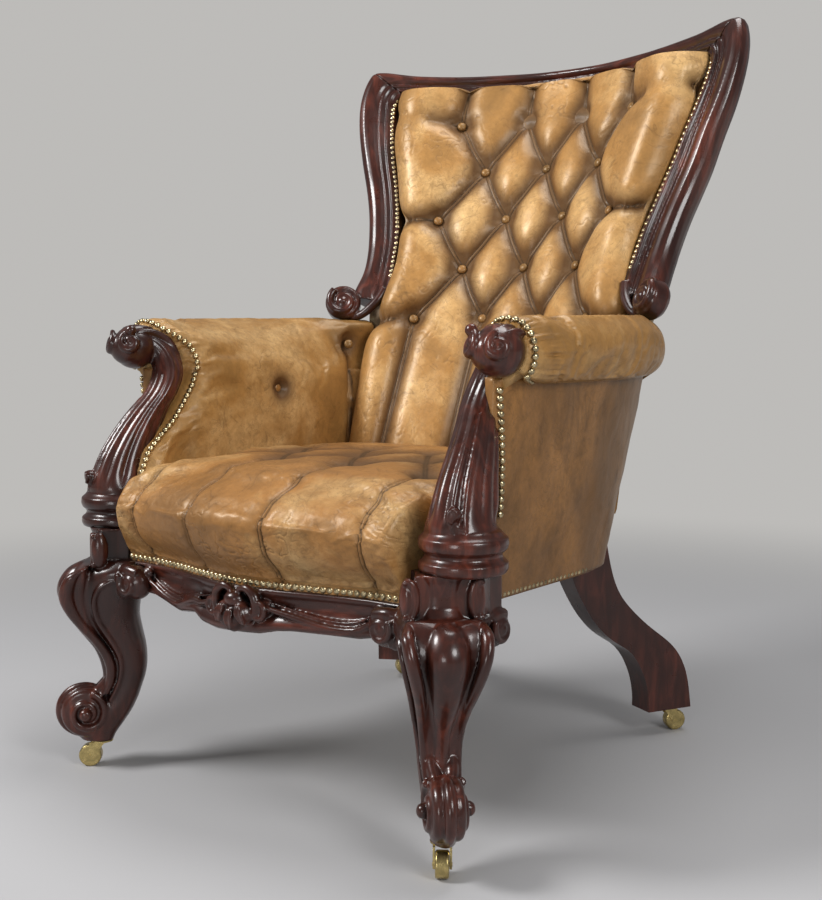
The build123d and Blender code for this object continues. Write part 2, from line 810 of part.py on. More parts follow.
def pleat_lines():
    """Lines of the folded pleats between neighbouring buttons and out to the edges."""
    lines = []
    for row, x, z in tuft_grid():
        start, normal = tuft_frame(x, z)
        start = start + normal * (TUFT_DEPTH * PLEAT_SINK)
        for side in (-1, 1):
            next_x = x + side * BUTTON_PITCH / 2
            if row + 1 < BUTTON_ROWS and abs(next_x) <= BUTTON_PITCH * 1.5:
                end, end_normal = tuft_frame(next_x, z - BUTTON_ROW)
                lines.append((start, end + end_normal * (TUFT_DEPTH * PLEAT_SINK)))
        if row % 2 == 0 and abs(x) > BUTTON_PITCH:
            side = 1 if x > 0 else -1
            edge = Vector(x + side * BUTTON_PITCH, start.Y - PAD_CORNER / 4, start.Z)
            lines.append((start, edge))
        if row == 0:
            lines.append((start, start + UPWARD * BUTTON_ROW))
        if row == BUTTON_ROWS - 1:
            drop = z - BACK_LOW_Z
            lines.append((start, start - UPWARD * (drop / cos(RAKE))))
    return lines


def buttoned_pad(inset, behind=0.0):
    """The pad with its buttons pulled in."""
    funnels = [dimple(*tuft_frame(x, z), inset) for row, x, z in tuft_grid()]
    return solid_of(pad_form(inset, behind) - funnels)


def back_pads():
    """Leather of the back on its wadding, pleated from button to button, and the stuffing in it."""
    folds = [bar(start, end, PLEAT_RADIUS) for start, end in pleat_lines()]
    cover = solid_of(buttoned_pad(0.0) - folds)
    stuffing = buttoned_pad(LEATHER + SOFT_CLEAR, WADDING)
    return cut(cover, buttoned_pad(LEATHER, WADDING)), stuffing


def webbing_section(z, front, back):
    """Thin curved slice just behind the pad at one height."""
    rows = [pad_row(share, 0.0) for share in PAD_SHARES]
    for low, high in zip(rows, rows[1:]):
        if low[0] <= z <= high[0]:
            part = (z - low[0]) / (high[0] - low[0])
            half, side_y, rear_y = [low[i] + part * (high[i] - low[i]) for i in (1, 4, 5)]
    half += OVERRUN * 2
    points = []
    for gap in (front, back):
        side = side_y + gap
        points.append((Vector(-half, side, z), Vector(0, rear_y + gap, z), Vector(half, side, z)))
    (a, b, c), (d, e, f) = points
    edges = [
        Edge.make_three_point_arc(a, b, c),
        Edge.make_line(c, f),
        Edge.make_three_point_arc(f, e, d),
        Edge.make_line(d, a),
    ]
    return Wire(edges)


BACK_WEB_ROWS = 5
BACK_WEB_LOW = 470.0
BACK_WEB_STEP = 122.0
WEB_SET = 2.5


def back_webbing(cutters):
    strips = []
    for row in range(BACK_WEB_ROWS):
        low = BACK_WEB_LOW + row * BACK_WEB_STEP - WEB_WIDTH / 2
        sections = [webbing_section(z, WEB_SET, WEB_SET + WEB_THICK) for z in (low, low + WEB_WIDTH)]
        strips.append(cut(Solid.make_loft(sections, True), *cutters))
    return strips


def back_post(cutters):
    """Beech post from the rear leg up to the foot of the stile, behind the arm."""
    foot = REAR_AXIS + REAR_OUT * (REAR_LEG_REACH * (REAR_FRONT_SHARES[-1][0] + REAR_BACK_SHARES[0][0]) / 2)
    inner, outer = stile_edges(STILE_SHARES[1])
    head = (inner + outer) / 2 + BACKWARD * (STILE_DEPTH / 2)
    half = POST_SIDE / 2
    wires = []
    for centre, z in ((foot, RAIL_TOP), (head, head.Z)):
        corners = [(-half, -half), (half, -half), (half, half), (-half, half)]
        wires.append(polygon([(centre.X + a, centre.Y + b, z) for a, b in corners]))
    return cut(Solid.make_loft(wires, True), *cutters)


# Outside covers
PANEL_LEAN = 30.0
PANEL_LEAN_SHARES = [(0.9, 0.0), (1.1, 0.0), (1.2, 0.5), (1.4, 1.4), (1.2, 3.0)]


def outside_arm(cutters):
    """Leather cover of the outside of one arm, leaning out to the roll."""
    wires = []
    low_line = rail_line(-SOFT_CLEAR)
    outer_line = rail_line(-SOFT_CLEAR - PANEL_THICK)
    for (x0, y0), (x1, y1), (out, back) in zip(low_line, outer_line, PANEL_LEAN_SHARES):
        shift_x = PANEL_LEAN * out
        shift_y = PANEL_LEAN * back
        wires.append(polygon([
            (x0, y0, RAIL_BOTTOM),
            (x1, y1, RAIL_BOTTOM),
            (x1 + shift_x, y1 + shift_y, PANEL_TOP_Z),
            (x0 + shift_x, y0 + shift_y, PANEL_TOP_Z),
        ]))
    return cut(Solid.make_loft(wires, True), *cutters)


OUTSIDE_BACK_STATIONS_SHARES = [(-1.0, 0.0), (-0.55, 0.62), (0.0, 0.86), (0.55, 0.62), (1.0, 0.0)]
OUTSIDE_BACK_LOW_HALF = 204.0
OUTSIDE_BACK_TOP_HALF = 292.0
OUTSIDE_BACK_LOW_Y = 496.0
OUTSIDE_BACK_TOP_Y = 748.0
OUTSIDE_BACK_BOW = 62.0
OUTSIDE_BACK_TOP_BOW = 78.0
OUTSIDE_BACK_TOP_Z = 1028.0


def outside_back(cutters):
    wires = []
    for across, bow in OUTSIDE_BACK_STATIONS_SHARES:
        x0 = across * OUTSIDE_BACK_LOW_HALF
        x1 = across * OUTSIDE_BACK_TOP_HALF
        y0 = OUTSIDE_BACK_LOW_Y + bow * OUTSIDE_BACK_BOW
        y1 = OUTSIDE_BACK_TOP_Y + bow * OUTSIDE_BACK_TOP_BOW
        wires.append(polygon([
            (x0, y0, RAIL_BOTTOM),
            (x0, y0 + PANEL_THICK, RAIL_BOTTOM),
            (x1, y1 + PANEL_THICK, OUTSIDE_BACK_TOP_Z),
            (x1, y1, OUTSIDE_BACK_TOP_Z),
        ]))
    return cut(Solid.make_loft(wires, True), *cutters)


# Seat: height share, front swell share, side draw-in share, rear draw-in share
SEAT_RISE = SEAT_CROWN - SEAT_LOW
SEAT_SWELL = 30.0
SEAT_DRAW = 130.0
SEAT_SHARES = [
    (0.00, 0.10, 0.02, 0.00),
    (0.20, 0.85, 0.00, 0.00),
    (0.45, 1.00, 0.00, 0.00),
    (0.70, 0.50, 0.02, 0.02),
    (0.86, -0.90, 0.14, 0.12),
    (0.95, -3.00, 0.42, 0.40),
    (1.00, -5.20, 0.90, 0.85),
]
SEAT_TUFT_ROWS = 3
SEAT_TUFT_FRONT = 118.0
SEAT_TUFT_ROW = 98.0
SEAT_TUFT_PITCH = 125.0
SEAT_TUFT_TAPER_SHARE = 0.08
SEAT_PLEAT_STEPS = (-1.5, -0.5, 0.5, 1.5)


def seat_section(share, inset):
    up, swell, side, rear = share
    z = SEAT_LOW + up * SEAT_RISE
    if share is SEAT_SHARES[0]:
        z += inset
    if share is SEAT_SHARES[-1]:
        z -= inset
    half = SEAT_HALF - side * SEAT_DRAW - inset
    front_y = SEAT_FRONT_Y - swell * SEAT_SWELL + inset
    rear_y = SEAT_REAR_Y - rear * SEAT_DRAW - inset
    bow = SEAT_BOW * half / SEAT_HALF
    rear_bow = SEAT_REAR_BOW * half / SEAT_HALF
    a = Vector(-half, front_y + bow / 2, z)
    b = Vector(half, front_y + bow / 2, z)
    c = Vector(half, rear_y, z)
    d = Vector(-half, rear_y, z)
    edges = [
        Edge.make_three_point_arc(a, Vector(0, front_y - bow / 2, z), b),
        Edge.make_line(b, c),
        Edge.make_three_point_arc(c, Vector(0, rear_y + rear_bow, z), d),
        Edge.make_line(d, a),
    ]
    return Wire(edges)


def seat_form(inset):
    return Solid.make_loft([seat_section(share, inset) for share in SEAT_SHARES], True)


def seat_tuft_places():
    places = []
    for row in range(SEAT_TUFT_ROWS):
        y = SEAT_TUFT_FRONT + row * SEAT_TUFT_ROW
        steps = SEAT_PLEAT_STEPS if row % 2 == 0 else (-1.0, 0.0, 1.0)
        for step in steps:
            x = step * SEAT_TUFT_PITCH * (1 - row * SEAT_TUFT_TAPER_SHARE)
            fall = SEAT_TUFT_DEPTH * 2 * (abs(x) / SEAT_HALF) ** 2
            places.append(Vector(x, y, SEAT_CROWN - SEAT_TUFT_DEPTH - fall))
    return places


def seat_channels():
    """Pleats over the front roll of the seat, laid along its face."""
    tools = []
    for step in SEAT_PLEAT_STEPS:
        x = step * SEAT_TUFT_PITCH
        points = []
        for up, swell, side, rear in SEAT_SHARES[:-1]:
            half = SEAT_HALF - side * SEAT_DRAW
            bow = SEAT_BOW * half / SEAT_HALF * (1 / 2 - (x / half) ** 2)
            points.append(Vector(x, SEAT_FRONT_Y - swell * SEAT_SWELL - bow, SEAT_LOW + up * SEAT_RISE))
        tools += [bar(start, end, PLEAT_RADIUS) for start, end in zip(points, points[1:])]
    return tools


def tufted_seat(inset, extra=0.0):
    """The seat pad drawn in by an inset, with its shallow tufts grown by the extra."""
    hollows = []
    for place in seat_tuft_places():
        centre = place + Z_AXIS * SEAT_TUFT_RADIUS
        hollows.append(Solid.make_sphere(SEAT_TUFT_RADIUS + extra, Plane(centre)))
    return solid_of(seat_form(inset) - hollows)


APRON_HALF = 256.0
APRON_THICK = 2.4


def seat_apron():
    """Leather lapped down over the rebate of the front rail."""
    low = RAIL_TOP - REBATE_HEIGHT
    height = SEAT_LOW + LEATHER - low
    inset = REBATE_DEPTH - APRON_THICK
    outer = Solid.extrude(bowed_plan(APRON_HALF, inset, FRONT_RAIL_THICK / 2), Z_AXIS * height)
    behind = REBATE_DEPTH - SOFT_CLEAR
    inner = Solid.extrude(bowed_plan(APRON_HALF + OVERRUN, behind, FRONT_RAIL_THICK), Z_AXIS * height)
    return solid_of(outer - inner).moved(Location((0, 0, low)))


def seat_pads(cutters):
    """Leather of the seat on its wadding, with its apron, and the stuffing in it."""
    cover = solid_of(tufted_seat(0.0) - seat_channels())
    shell = join(cut(cover, tufted_seat(WADDING, LEATHER)), seat_apron())
    stuffing = tufted_seat(WADDING + 2 * SOFT_CLEAR, LEATHER + SOFT_CLEAR)
    stuffing = stuffing.moved(Location((0, 0, -SOFT_CLEAR)))
    back = pad_form(-SOFT_CLEAR)
    return cut(shell, back, *cutters), cut(stuffing, back)


WEB_ALONG_STEP = 75.0
WEB_ACROSS_FIRST = 35.0
WEB_ACROSS_STEP = 85.0
WEB_ACROSS_COUNT = 4


def seat_web(cutters):
    """Webbing under the seat: straps from front to back, and straps across over them."""
    straps = []
    front_y = FRONT_RAIL_FACE_Y + FRONT_RAIL_THICK
    rear_y = BACK_RAIL_Y
    half = SIDE_RAIL_X - RAIL_THICK
    for step in (-1.5, -0.5, 0.5, 1.5):
        corner = Plane((step * WEB_ALONG_STEP - WEB_WIDTH / 2, front_y, RAIL_BOTTOM - WEB_THICK))
        straps.append(Solid.make_box(WEB_WIDTH, rear_y - front_y, WEB_THICK, corner))
    for step in range(WEB_ACROSS_COUNT):
        y = front_y + WEB_ACROSS_FIRST + step * WEB_ACROSS_STEP
        strap = Solid.make_box(2 * half, WEB_WIDTH, WEB_THICK, Plane((-half, y, RAIL_BOTTOM)))
        straps.append(cut(strap, *cutters))
    return straps


SPRING_GRID = 3
SPRING_STEP_X = 118.0
SPRING_STEP_Y = 116.0
SPRING_FIRST_Y = 128.0
HESSIAN = 1.2


def springs():
    """Coil springs between the webbing and the hessian."""
    foot = RAIL_BOTTOM + WEB_THICK
    head = SEAT_LOW - SOFT_CLEAR - HESSIAN
    rise = head - foot - 2 * SPRING_WIRE
    path = Edge.make_helix(rise / SPRING_TURNS, rise, SPRING_RADIUS)
    start = path @ 0
    section = Wire.make_circle(SPRING_WIRE, Plane(origin=start, z_dir=path % 0))
    coil = Solid.sweep(Face(section), path=path)
    coils = []
    for row in range(SPRING_GRID):
        for column in range(SPRING_GRID):
            x = (column - 1) * SPRING_STEP_X
            y = SPRING_FIRST_Y + row * SPRING_STEP_Y
            coils.append(coil.moved(Location((x, y, foot + SPRING_WIRE))))
    return coils


SHEET_REAR_SHARE = 0.75


def inner_plan(inset):
    front_y = FRONT_RAIL_FACE_Y + FRONT_RAIL_THICK + inset
    side = [(x - inset, max(y, front_y)) for x, y in rail_line(RAIL_THICK)[:-1]]
    rear = [(BACK_RAIL_HALF * SHEET_REAR_SHARE, BACK_RAIL_Y - RAIL_THICK - inset)]
    right = side + rear
    return right + [(-x, y) for x, y in right[::-1]]


def sheet(inset, low, thick, cutters):
    return cut(prism(inner_plan(inset), low, low + thick), *cutters)


# Nails
NAIL_LEAN = 35.0


def nail_master():
    """Domed nail head with its shank, set on its own Z axis."""
    lean = radians(NAIL_LEAN)
    ball = NAIL_RADIUS / cos(lean)
    head = Solid.make_sphere(ball, Plane((0, 0, -ball * sin(lean))), NAIL_LEAN, 90, 360)
    shank = Solid.make_cylinder(NAIL_SHANK, NAIL_SHANK_LENGTH, Plane((0, 0, -NAIL_SHANK_LENGTH)))
    return join(head, shank)


def nails(places):
    master = nail_master()
    return [master.moved(Plane(origin=place, z_dir=normal).location) for place, normal in places]


def front_nail_places():
    places = []
    z = RAIL_TOP - REBATE_HEIGHT + NAIL_RADIUS
    half = FRONT_RAIL_HALF * FRONT_NAIL_SHARE
    count = int(2 * half / NAIL_PITCH)
    for i in range(count + 1):
        x = half * (2 * i / count - 1)
        slope = (front_face_y(x + OVERRUN) - front_face_y(x - OVERRUN)) / (2 * OVERRUN)
        y = front_face_y(x, REBATE_DEPTH - APRON_THICK)
        places.append((Vector(x, y, z), Vector(slope, -1, 0)))
    return places


def panel_nail_places():
    places = []
    line = rail_line(-SOFT_CLEAR - PANEL_THICK)
    z = RAIL_BOTTOM + NAIL_RADIUS * 1.2
    for (x0, y0), (x1, y1) in zip(line, line[1:]):
        run = hypot(x1 - x0, y1 - y0)
        count = max(int(run / NAIL_PITCH), 1)
        for i in range(count):
            part = (i + 0.5) / count
            normal = Vector(y1 - y0, x0 - x1, 0)
            places.append((Vector(x0 + part * (x1 - x0), y0 + part * (y1 - y0), z), normal))
    return places


def table_at(table, up):
    """Straight blend between the rows of a table at one height share."""
    for low, high in zip(table, table[1:]):
        if low[0] <= up <= high[0]:
            part = (up - low[0]) / (high[0] - low[0])
            return [a + part * (b - a) for a, b in zip(low, high)]
    return list(table[-1])


SUPPORT_NAIL_SHARES = (0.19, 0.86)
SUPPORT_NAIL_TURN = 68.0


def support_nail_places():
    places = []
    height = ARM_SUPPORT_TOP - RAIL_TOP
    low, high = SUPPORT_NAIL_SHARES
    count = int((high - low) * height / NAIL_PITCH)
    for turn in (SUPPORT_NAIL_TURN, 180 - SUPPORT_NAIL_TURN):
        angle = radians(turn)
        for i in range(count + 1):
            up = low + (high - low) * i / count
            share, sweep, deep, wide, shift = table_at(SUPPORT_SHARES, up)
            x = FRONT_STEM_X + shift * ARM_SWEEP + cos(angle) * wide * COLLAR_HALF
            y = sweep * ARM_SWEEP - LEG_REACH / 10 + sin(angle) * deep * COLLAR_HALF
            normal = Vector(cos(angle) / wide, sin(angle) / deep, 0)
            places.append((Vector(x, y, RAIL_TOP + up * height), normal))
    return places


STILE_NAIL_SHARE = 0.07


def stile_nail_places():
    places = []
    for low, high in zip(STILE_SHARES[1:], STILE_SHARES[2:-1]):
        p0, o0 = stile_edges(low)
        p1, o1 = stile_edges(high)
        count = max(int((p1 - p0).length / NAIL_PITCH + 0.5), 1)
        for i in range(count):
            part = i / count
            inner = p0 + (p1 - p0) * part
            outer = o0 + (o1 - o0) * part
            place = inner + (outer - inner) * STILE_NAIL_SHARE
            normal = (outer - inner).cross(p1 - p0)
            if normal.Y > 0:
                normal = normal * -1
            places.append((place, normal))
    return places


# Castors
CASTORS = [
    ("front_left", 1, FRONT_STEM_X, 0.0, (0.56, -0.83)),
    ("front_right", -1, FRONT_STEM_X, 0.0, (-0.75, -0.66)),
    ("rear_left", 1, REAR_STEM_X, REAR_STEM_Y, (0.64, 0.77)),
    ("rear_right", -1, REAR_STEM_X, REAR_STEM_Y, (0.60, 0.80)),
]


def castor_plate(centre):
    top = centre + Z_AXIS * FOOT_Z
    plate = bar(top - Z_AXIS * PLATE_THICK, top, PLATE_RADIUS)
    hole = bar(top - Z_AXIS * 2 * PLATE_THICK, top, STEM_RADIUS + RUN_CLEAR)
    plate = cut(plate, hole)
    for place in screw_places(centre):
        plate = cut(plate, bar(place - Z_AXIS * PLATE_THICK, place, SCREW_RADIUS / 2))
    return plate


def screw_places(centre):
    ring = (PLATE_RADIUS + STEM_RADIUS) / 2
    places = []
    for step in range(3):
        turn = 2 * pi * step / 3
        places.append(centre + Vector(ring * cos(turn), ring * sin(turn), FOOT_Z))
    return places


def plate_screws(centre):
    """Wood screws of one castor plate, with flush heads."""
    screws = []
    for place in screw_places(centre):
        screws.append(bar(place - Z_AXIS * PLATE_THICK, place + Z_AXIS * SCREW_LENGTH, SCREW_RADIUS / 2))
    return screws


def castor_fork(centre, trail):
    """Horn of a castor: stem, crown and two arms that hold the axle."""
    crown_top = FOOT_Z - PLATE_THICK - RUN_CLEAR
    seat = centre + Z_AXIS * (crown_top - FORK_CROWN)
    crown = bar(seat, centre + Z_AXIS * crown_top, FORK_CROWN_RADIUS)
    stem = bar(seat, centre + Z_AXIS * (FOOT_Z + STEM_LENGTH - WHEEL_CLEAR), STEM_RADIUS)
    across = trail.cross(Z_AXIS)
    hub = centre + trail * TRAIL + Z_AXIS * WHEEL_RADIUS
    gap = WHEEL_WIDTH / 2 + WHEEL_CLEAR
    body = join(crown, stem)
    width = 2 * (gap + FORK_THICK)
    corner = seat - trail * (FORK_CROWN_RADIUS / 2) - across * (width / 2)
    bridge = Plane(origin=corner, x_dir=trail, z_dir=Z_AXIS)
    body = join(body, Solid.make_box(TRAIL + FORK_CROWN_RADIUS / 2, width, FORK_CROWN, bridge))
    for side in (-1, 1):
        face = centre + across * (side * gap)
        arm = [
            face - trail * (FORK_CROWN_RADIUS / 2) + Z_AXIS * crown_top,
            face + trail * TRAIL + Z_AXIS * crown_top,
            face + trail * (TRAIL + AXLE_RADIUS * 2) + Z_AXIS * (WHEEL_RADIUS + AXLE_RADIUS),
            face + trail * (TRAIL + AXLE_RADIUS) + Z_AXIS * (WHEEL_RADIUS - AXLE_RADIUS * 2),
            face + trail * (TRAIL - AXLE_RADIUS * 2) + Z_AXIS * (WHEEL_RADIUS - AXLE_RADIUS),
        ]
        plate = Solid.extrude(Face(Wire.make_polygon(arm)), across * (side * FORK_THICK))
        body = join(body, plate)
    pin = bar(hub - across * width, hub + across * width, AXLE_RADIUS)
    return cut(body, pin)


def castor_axle(centre, trail):
    across = trail.cross(Z_AXIS)
    hub = centre + trail * TRAIL + Z_AXIS * WHEEL_RADIUS
    reach = WHEEL_WIDTH / 2 + WHEEL_CLEAR + FORK_THICK + AXLE_RADIUS / 4
    return bar(hub - across * reach, hub + across * reach, AXLE_RADIUS)


def castor_wheel(centre, trail):
    across = trail.cross(Z_AXIS)
    hub = centre + trail * TRAIL + Z_AXIS * WHEEL_RADIUS
    half = across * (WHEEL_WIDTH / 2)
    wheel = bar(hub - half, hub + half, WHEEL_RADIUS)
    wheel = wheel.fillet(WHEEL_WIDTH / 6, wheel.edges().filter_by(GeomType.CIRCLE))
    bore = bar(hub - across * WHEEL_WIDTH, hub + across * WHEEL_WIDTH, AXLE_RADIUS + RUN_CLEAR)
    return cut(wheel, bore)


def build():
    """Every node of the chair, as lists of solids in building order."""
    nodes = {}
    leg = front_leg()
    rear = rear_leg()
    legs = [leg, mirrored(leg)]
    rears = [rear, mirrored(rear)]
    rail = front_rail(legs)
    side = side_rail(leg, rear)
    rear_rail = back_rail(rears + [side, mirrored(side)])
    stile = back_stile()
    stiles = [stile, mirrored(stile)]
    crest = crest_rail(stiles + [pad_form(-SOFT_CLEAR)])
    bracket = knee_bracket(leg, side)
    support = arm_support()
    back_skin, back_core = back_pads()
    arm_skin, arm_core = arm_pads()
    rail_in_arm = cut(arm_rail(), support, stile)
    arm_core = cut(arm_core, rail_in_arm, support, stile)
    arm_skin = cut(arm_skin, rail_in_arm, support, stile)
    blocks = corner_blocks(legs + rears + [side, mirrored(side), rail, rear_rail])
    seat_skin, seat_core = seat_pads(legs + [rail, support, mirrored(support)])
    post = back_post([stile, rear, rail_in_arm, arm_form(-SOFT_CLEAR), pad_form(-SOFT_CLEAR)])
    posts = [post, mirrored(post)]
    cover = outside_arm([leg, support, stile, post, rear, rear_rail, arm_skin])
    cover_back = outside_back(stiles + posts + [crest, cover, mirrored(cover)] + rears + [rear_rail])
    pairs = {
        "front_leg": leg,
        "rear_leg": rear,
        "side_rail": side,
        "knee_bracket": bracket,
        "arm_support": support,
        "arm_rail": rail_in_arm,
        "arm_stuffing": arm_core,
        "arm_leather": arm_skin,
        "outside_arm": cover,
        "back_post": post,
        "back_stile": stile,
    }
    for name, body in pairs.items():
        nodes[name + "_left"] = [body]
        nodes[name + "_right"] = [mirrored(body)]
    nodes["front_rail"] = [rail]
    nodes["back_rail"] = [rear_rail]
    nodes["crest_rail"] = [crest]
    nodes["corner_blocks"] = blocks
    nodes["back_leather"] = [back_skin]
    nodes["back_stuffing"] = [back_core]
    nodes["back_webbing"] = back_webbing(stiles + posts)
    nodes["outside_back"] = [cover_back]
    nodes["seat_leather"] = [seat_skin]
    nodes["seat_stuffing"] = [seat_core]
    nodes["seat_webbing"] = seat_web(blocks + legs + [side, mirrored(side)])
    nodes["seat_springs"] = springs()
    nodes["seat_hessian"] = [
        sheet(-OVERRUN, SEAT_LOW - SOFT_CLEAR - HESSIAN, HESSIAN, posts + [support, mirrored(support)])
    ]
    brackets = [bracket, mirrored(bracket)]
    low = RAIL_BOTTOM - 3 * WEB_THICK
    nodes["dust_cover"] = [sheet(-OVERRUN, low, WEB_THICK / 2, legs + rears + brackets + [rail])]
    nodes["back_buttons"] = [button(*tuft_frame(x, z)) for row, x, z in tuft_grid()]
    nodes["arm_buttons"] = []
    for base in arm_button_places():
        one = button(base, INWARD)
        nodes["arm_buttons"] += [one, mirrored(one)]
    nodes["front_rail_nails"] = nails(front_nail_places())
    for name, places in (
        ("panel_nails", panel_nail_places()),
        ("arm_nails", support_nail_places()),
        ("stile_nails", stile_nail_places()),
    ):
        one_side = nails(places)
        nodes[name + "_left"] = one_side
        nodes[name + "_right"] = [mirrored(nail) for nail in one_side]
    nodes["castor_plates"] = []
    nodes["plate_screws"] = []
    for name, side_sign, stem_x, stem_y, heading in CASTORS:
        centre = Vector(side_sign * stem_x, stem_y, 0)
        trail = Vector(heading[0], heading[1], 0).normalized()
        nodes["castor_plates"].append(castor_plate(centre))
        nodes["plate_screws"] += plate_screws(centre)
        nodes["castor_fork_" + name] = [castor_fork(centre, trail)]
        nodes["castor_axle_" + name] = [castor_axle(centre, trail)]
        nodes["castor_wheel_" + name] = [castor_wheel(centre, trail)]
    return nodes


def main():
    os.makedirs("parts", exist_ok=True)
    nodes = build()
    boxes = [solid.bounding_box() for solids in nodes.values() for solid in solids]
    low_y = min(box.min.Y for box in boxes)
    high_y = max(box.max.Y for box in boxes)
    shift = Location((0, -(low_y + high_y) / 2, 0))
    for name, solids in nodes.items():
        moved = [solid.moved(shift) for solid in solids]
        export_step(Compound(children=moved) if len(moved) > 1 else moved[0], f"parts/{name}.step")
    print("origin shift along Y", round(-(low_y + high_y) / 2, 4))


main()
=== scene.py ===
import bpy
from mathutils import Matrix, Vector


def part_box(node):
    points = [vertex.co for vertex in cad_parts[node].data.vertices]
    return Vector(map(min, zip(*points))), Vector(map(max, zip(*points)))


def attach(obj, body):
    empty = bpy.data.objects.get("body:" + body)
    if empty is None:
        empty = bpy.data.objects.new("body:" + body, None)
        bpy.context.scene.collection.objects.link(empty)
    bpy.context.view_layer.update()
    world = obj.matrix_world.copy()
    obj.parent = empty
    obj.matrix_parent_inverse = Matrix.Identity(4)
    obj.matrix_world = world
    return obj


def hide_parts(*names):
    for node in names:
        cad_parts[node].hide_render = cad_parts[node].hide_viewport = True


bl_info = {
    "name": "Library armchair",
    "version": (1, 0, 0),
    "blender": (4, 5, 0),
    "location": "3D View > Sidebar > Armchair",
    "description": "Carved mahogany frame, buttoned leather and brass castors of a library armchair",
    "category": "Object",
}

from math import cos, pi, radians, sin, sqrt, tan

import bmesh
import bpy
import numpy as np
from bpy.props import FloatProperty, FloatVectorProperty, PointerProperty
from mathutils import Matrix, Vector, noise

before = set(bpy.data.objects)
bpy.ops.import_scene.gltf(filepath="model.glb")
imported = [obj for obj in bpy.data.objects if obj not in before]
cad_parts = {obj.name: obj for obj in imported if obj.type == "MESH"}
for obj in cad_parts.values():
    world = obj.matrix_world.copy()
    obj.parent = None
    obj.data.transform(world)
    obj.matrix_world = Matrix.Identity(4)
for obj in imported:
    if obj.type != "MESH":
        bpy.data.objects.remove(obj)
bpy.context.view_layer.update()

# Places are in millimetres, with Y from the front castor stems and Z from the floor
MM = 0.001
PLATE_RADIUS = 15.0
FRONT_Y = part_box("castor_plates")[0].y / MM + PLATE_RADIUS
RAKE = radians(22.6)
FORWARD = Vector((0, -cos(RAKE), sin(RAKE)))
UPWARD = Vector((0, sin(RAKE), cos(RAKE)))
SIDEWAYS = Vector((1, 0, 0))
Z_AXIS = Vector((0, 0, 1))


def at(x, y, z):
    return Vector((x, y + FRONT_Y, z)) * MM


def way(x, y, z):
    """A direction with a length in millimetres."""
    return Vector((x, y, z)) * MM


def blended(table, count):
    """Smooth curve through the rows of a table, as so many rows."""
    points = np.array(table, float)
    last = len(points) - 1
    made = []
    for spot in np.linspace(0, last, count):
        i = min(int(spot), last - 1)
        t = spot - i
        before, start, end, after = (points[min(max(i + k, 0), last)] for k in (-1, 0, 1, 2))
        rise = (end - before) * t
        bend = (2 * before - 5 * start + 4 * end - after) * t ** 2
        twist = (3 * start - before - 3 * end + after) * t ** 3
        made.append((2 * start + rise + bend + twist) / 2)
    return made


def column(table, value, index):
    """One column of a table at a value of its first column."""
    rows = np.array(table, float)
    return float(np.interp(value, rows[:, 0], rows[:, index]))


def eased(share):
    share = min(max(share, 0.0), 1.0)
    return share * share * (3 - 2 * share)


class Form:
    """Closed skins gathered into one mesh."""

    def __init__(self):
        self.points = []
        self.faces = []

    def skin(self, rings):
        """Closed skin over rings of equal length, capped at both ends."""
        base = len(self.points)
        n = len(rings[0])
        for ring in rings:
            self.points.extend(Vector(point) for point in ring)
        for i in range(len(rings) - 1):
            for j in range(n):
                a = base + i * n + j
                b = base + i * n + (j + 1) % n
                self.faces.append((a, b, b + n, a + n))
        top = base + (len(rings) - 1) * n
        self.faces.append(tuple(base + j for j in reversed(range(n))))
        self.faces.append(tuple(top + j for j in range(n)))
        return self

    def tube(self, path, radius, sides=12):
        """Bead along a path. Its radius may follow the share along it."""
        points = [Vector(point) for point in path]
        last = len(points) - 1
        rings = []
        normal = None
        for i, point in enumerate(points):
            run = (points[min(i + 1, last)] - points[max(i - 1, 0)]).normalized()
            if normal is None:
                normal = run.orthogonal()
            normal = (normal - run * normal.dot(run)).normalized()
            other = run.cross(normal)
            size = (radius(i / last) if callable(radius) else radius) * MM
            rings.append([point + (normal * cos(t) + other * sin(t)) * size for t in turns(sides)])
        return self.skin(rings)

    def lobe(self, centre, a, b, c, rows=10, sides=18):
        """Egg with three half axes."""
        rings = []
        for i in range(rows + 1):
            tilt = -pi / 2 + pi * (i + 0.5) / (rows + 1)
            flat = a * cos(tilt)
            side = b * cos(tilt)
            rise = centre + c * sin(tilt)
            rings.append([rise + flat * cos(t) + side * sin(t) for t in turns(sides)])
        return self.skin(rings)

    def turned(self, origin, axis, profile, sides=40):
        """Turning about an axis from (radius, height) pairs in millimetres."""
        u = axis.orthogonal().normalized()
        v = axis.cross(u)
        rings = []
        for radius, height in profile:
            middle = origin + axis * (height * MM)
            rings.append([middle + (u * cos(t) + v * sin(t)) * (radius * MM) for t in turns(sides)])
        return self.skin(rings)

    def piece(self, name, paint):
        mesh = bpy.data.meshes.new(name)
        mesh.from_pydata(self.points, [], self.faces)
        mesh.validate()
        shell = bmesh.new()
        shell.from_mesh(mesh)
        bmesh.ops.recalc_face_normals(shell, faces=shell.faces)
        shell.to_mesh(mesh)
        shell.free()
        mesh.shade_smooth()
        mesh.materials.append(paint)
        made = bpy.data.objects.new(name, mesh)
        bpy.context.scene.collection.objects.link(made)
        return made


def turns(sides):
    return [2 * pi * step / sides for step in range(sides)]


def spiral(centre, u, v, start, end, count, phase, steps=44):
    """Scroll line that winds from one radius to another, in millimetres."""
    points = []
    for i in range(steps + 1):
        share = i / steps
        angle = phase + count * 2 * pi * share
        radius = start * (end / start) ** share * MM
        points.append(centre + (u * cos(angle) + v * sin(angle)) * radius)
    return points


def swelling(size, start, span, power=1.0):
    """Radius of a bead that swells along its path and thins again."""
    return lambda share: size * sin(pi * (start + span * share)) ** power


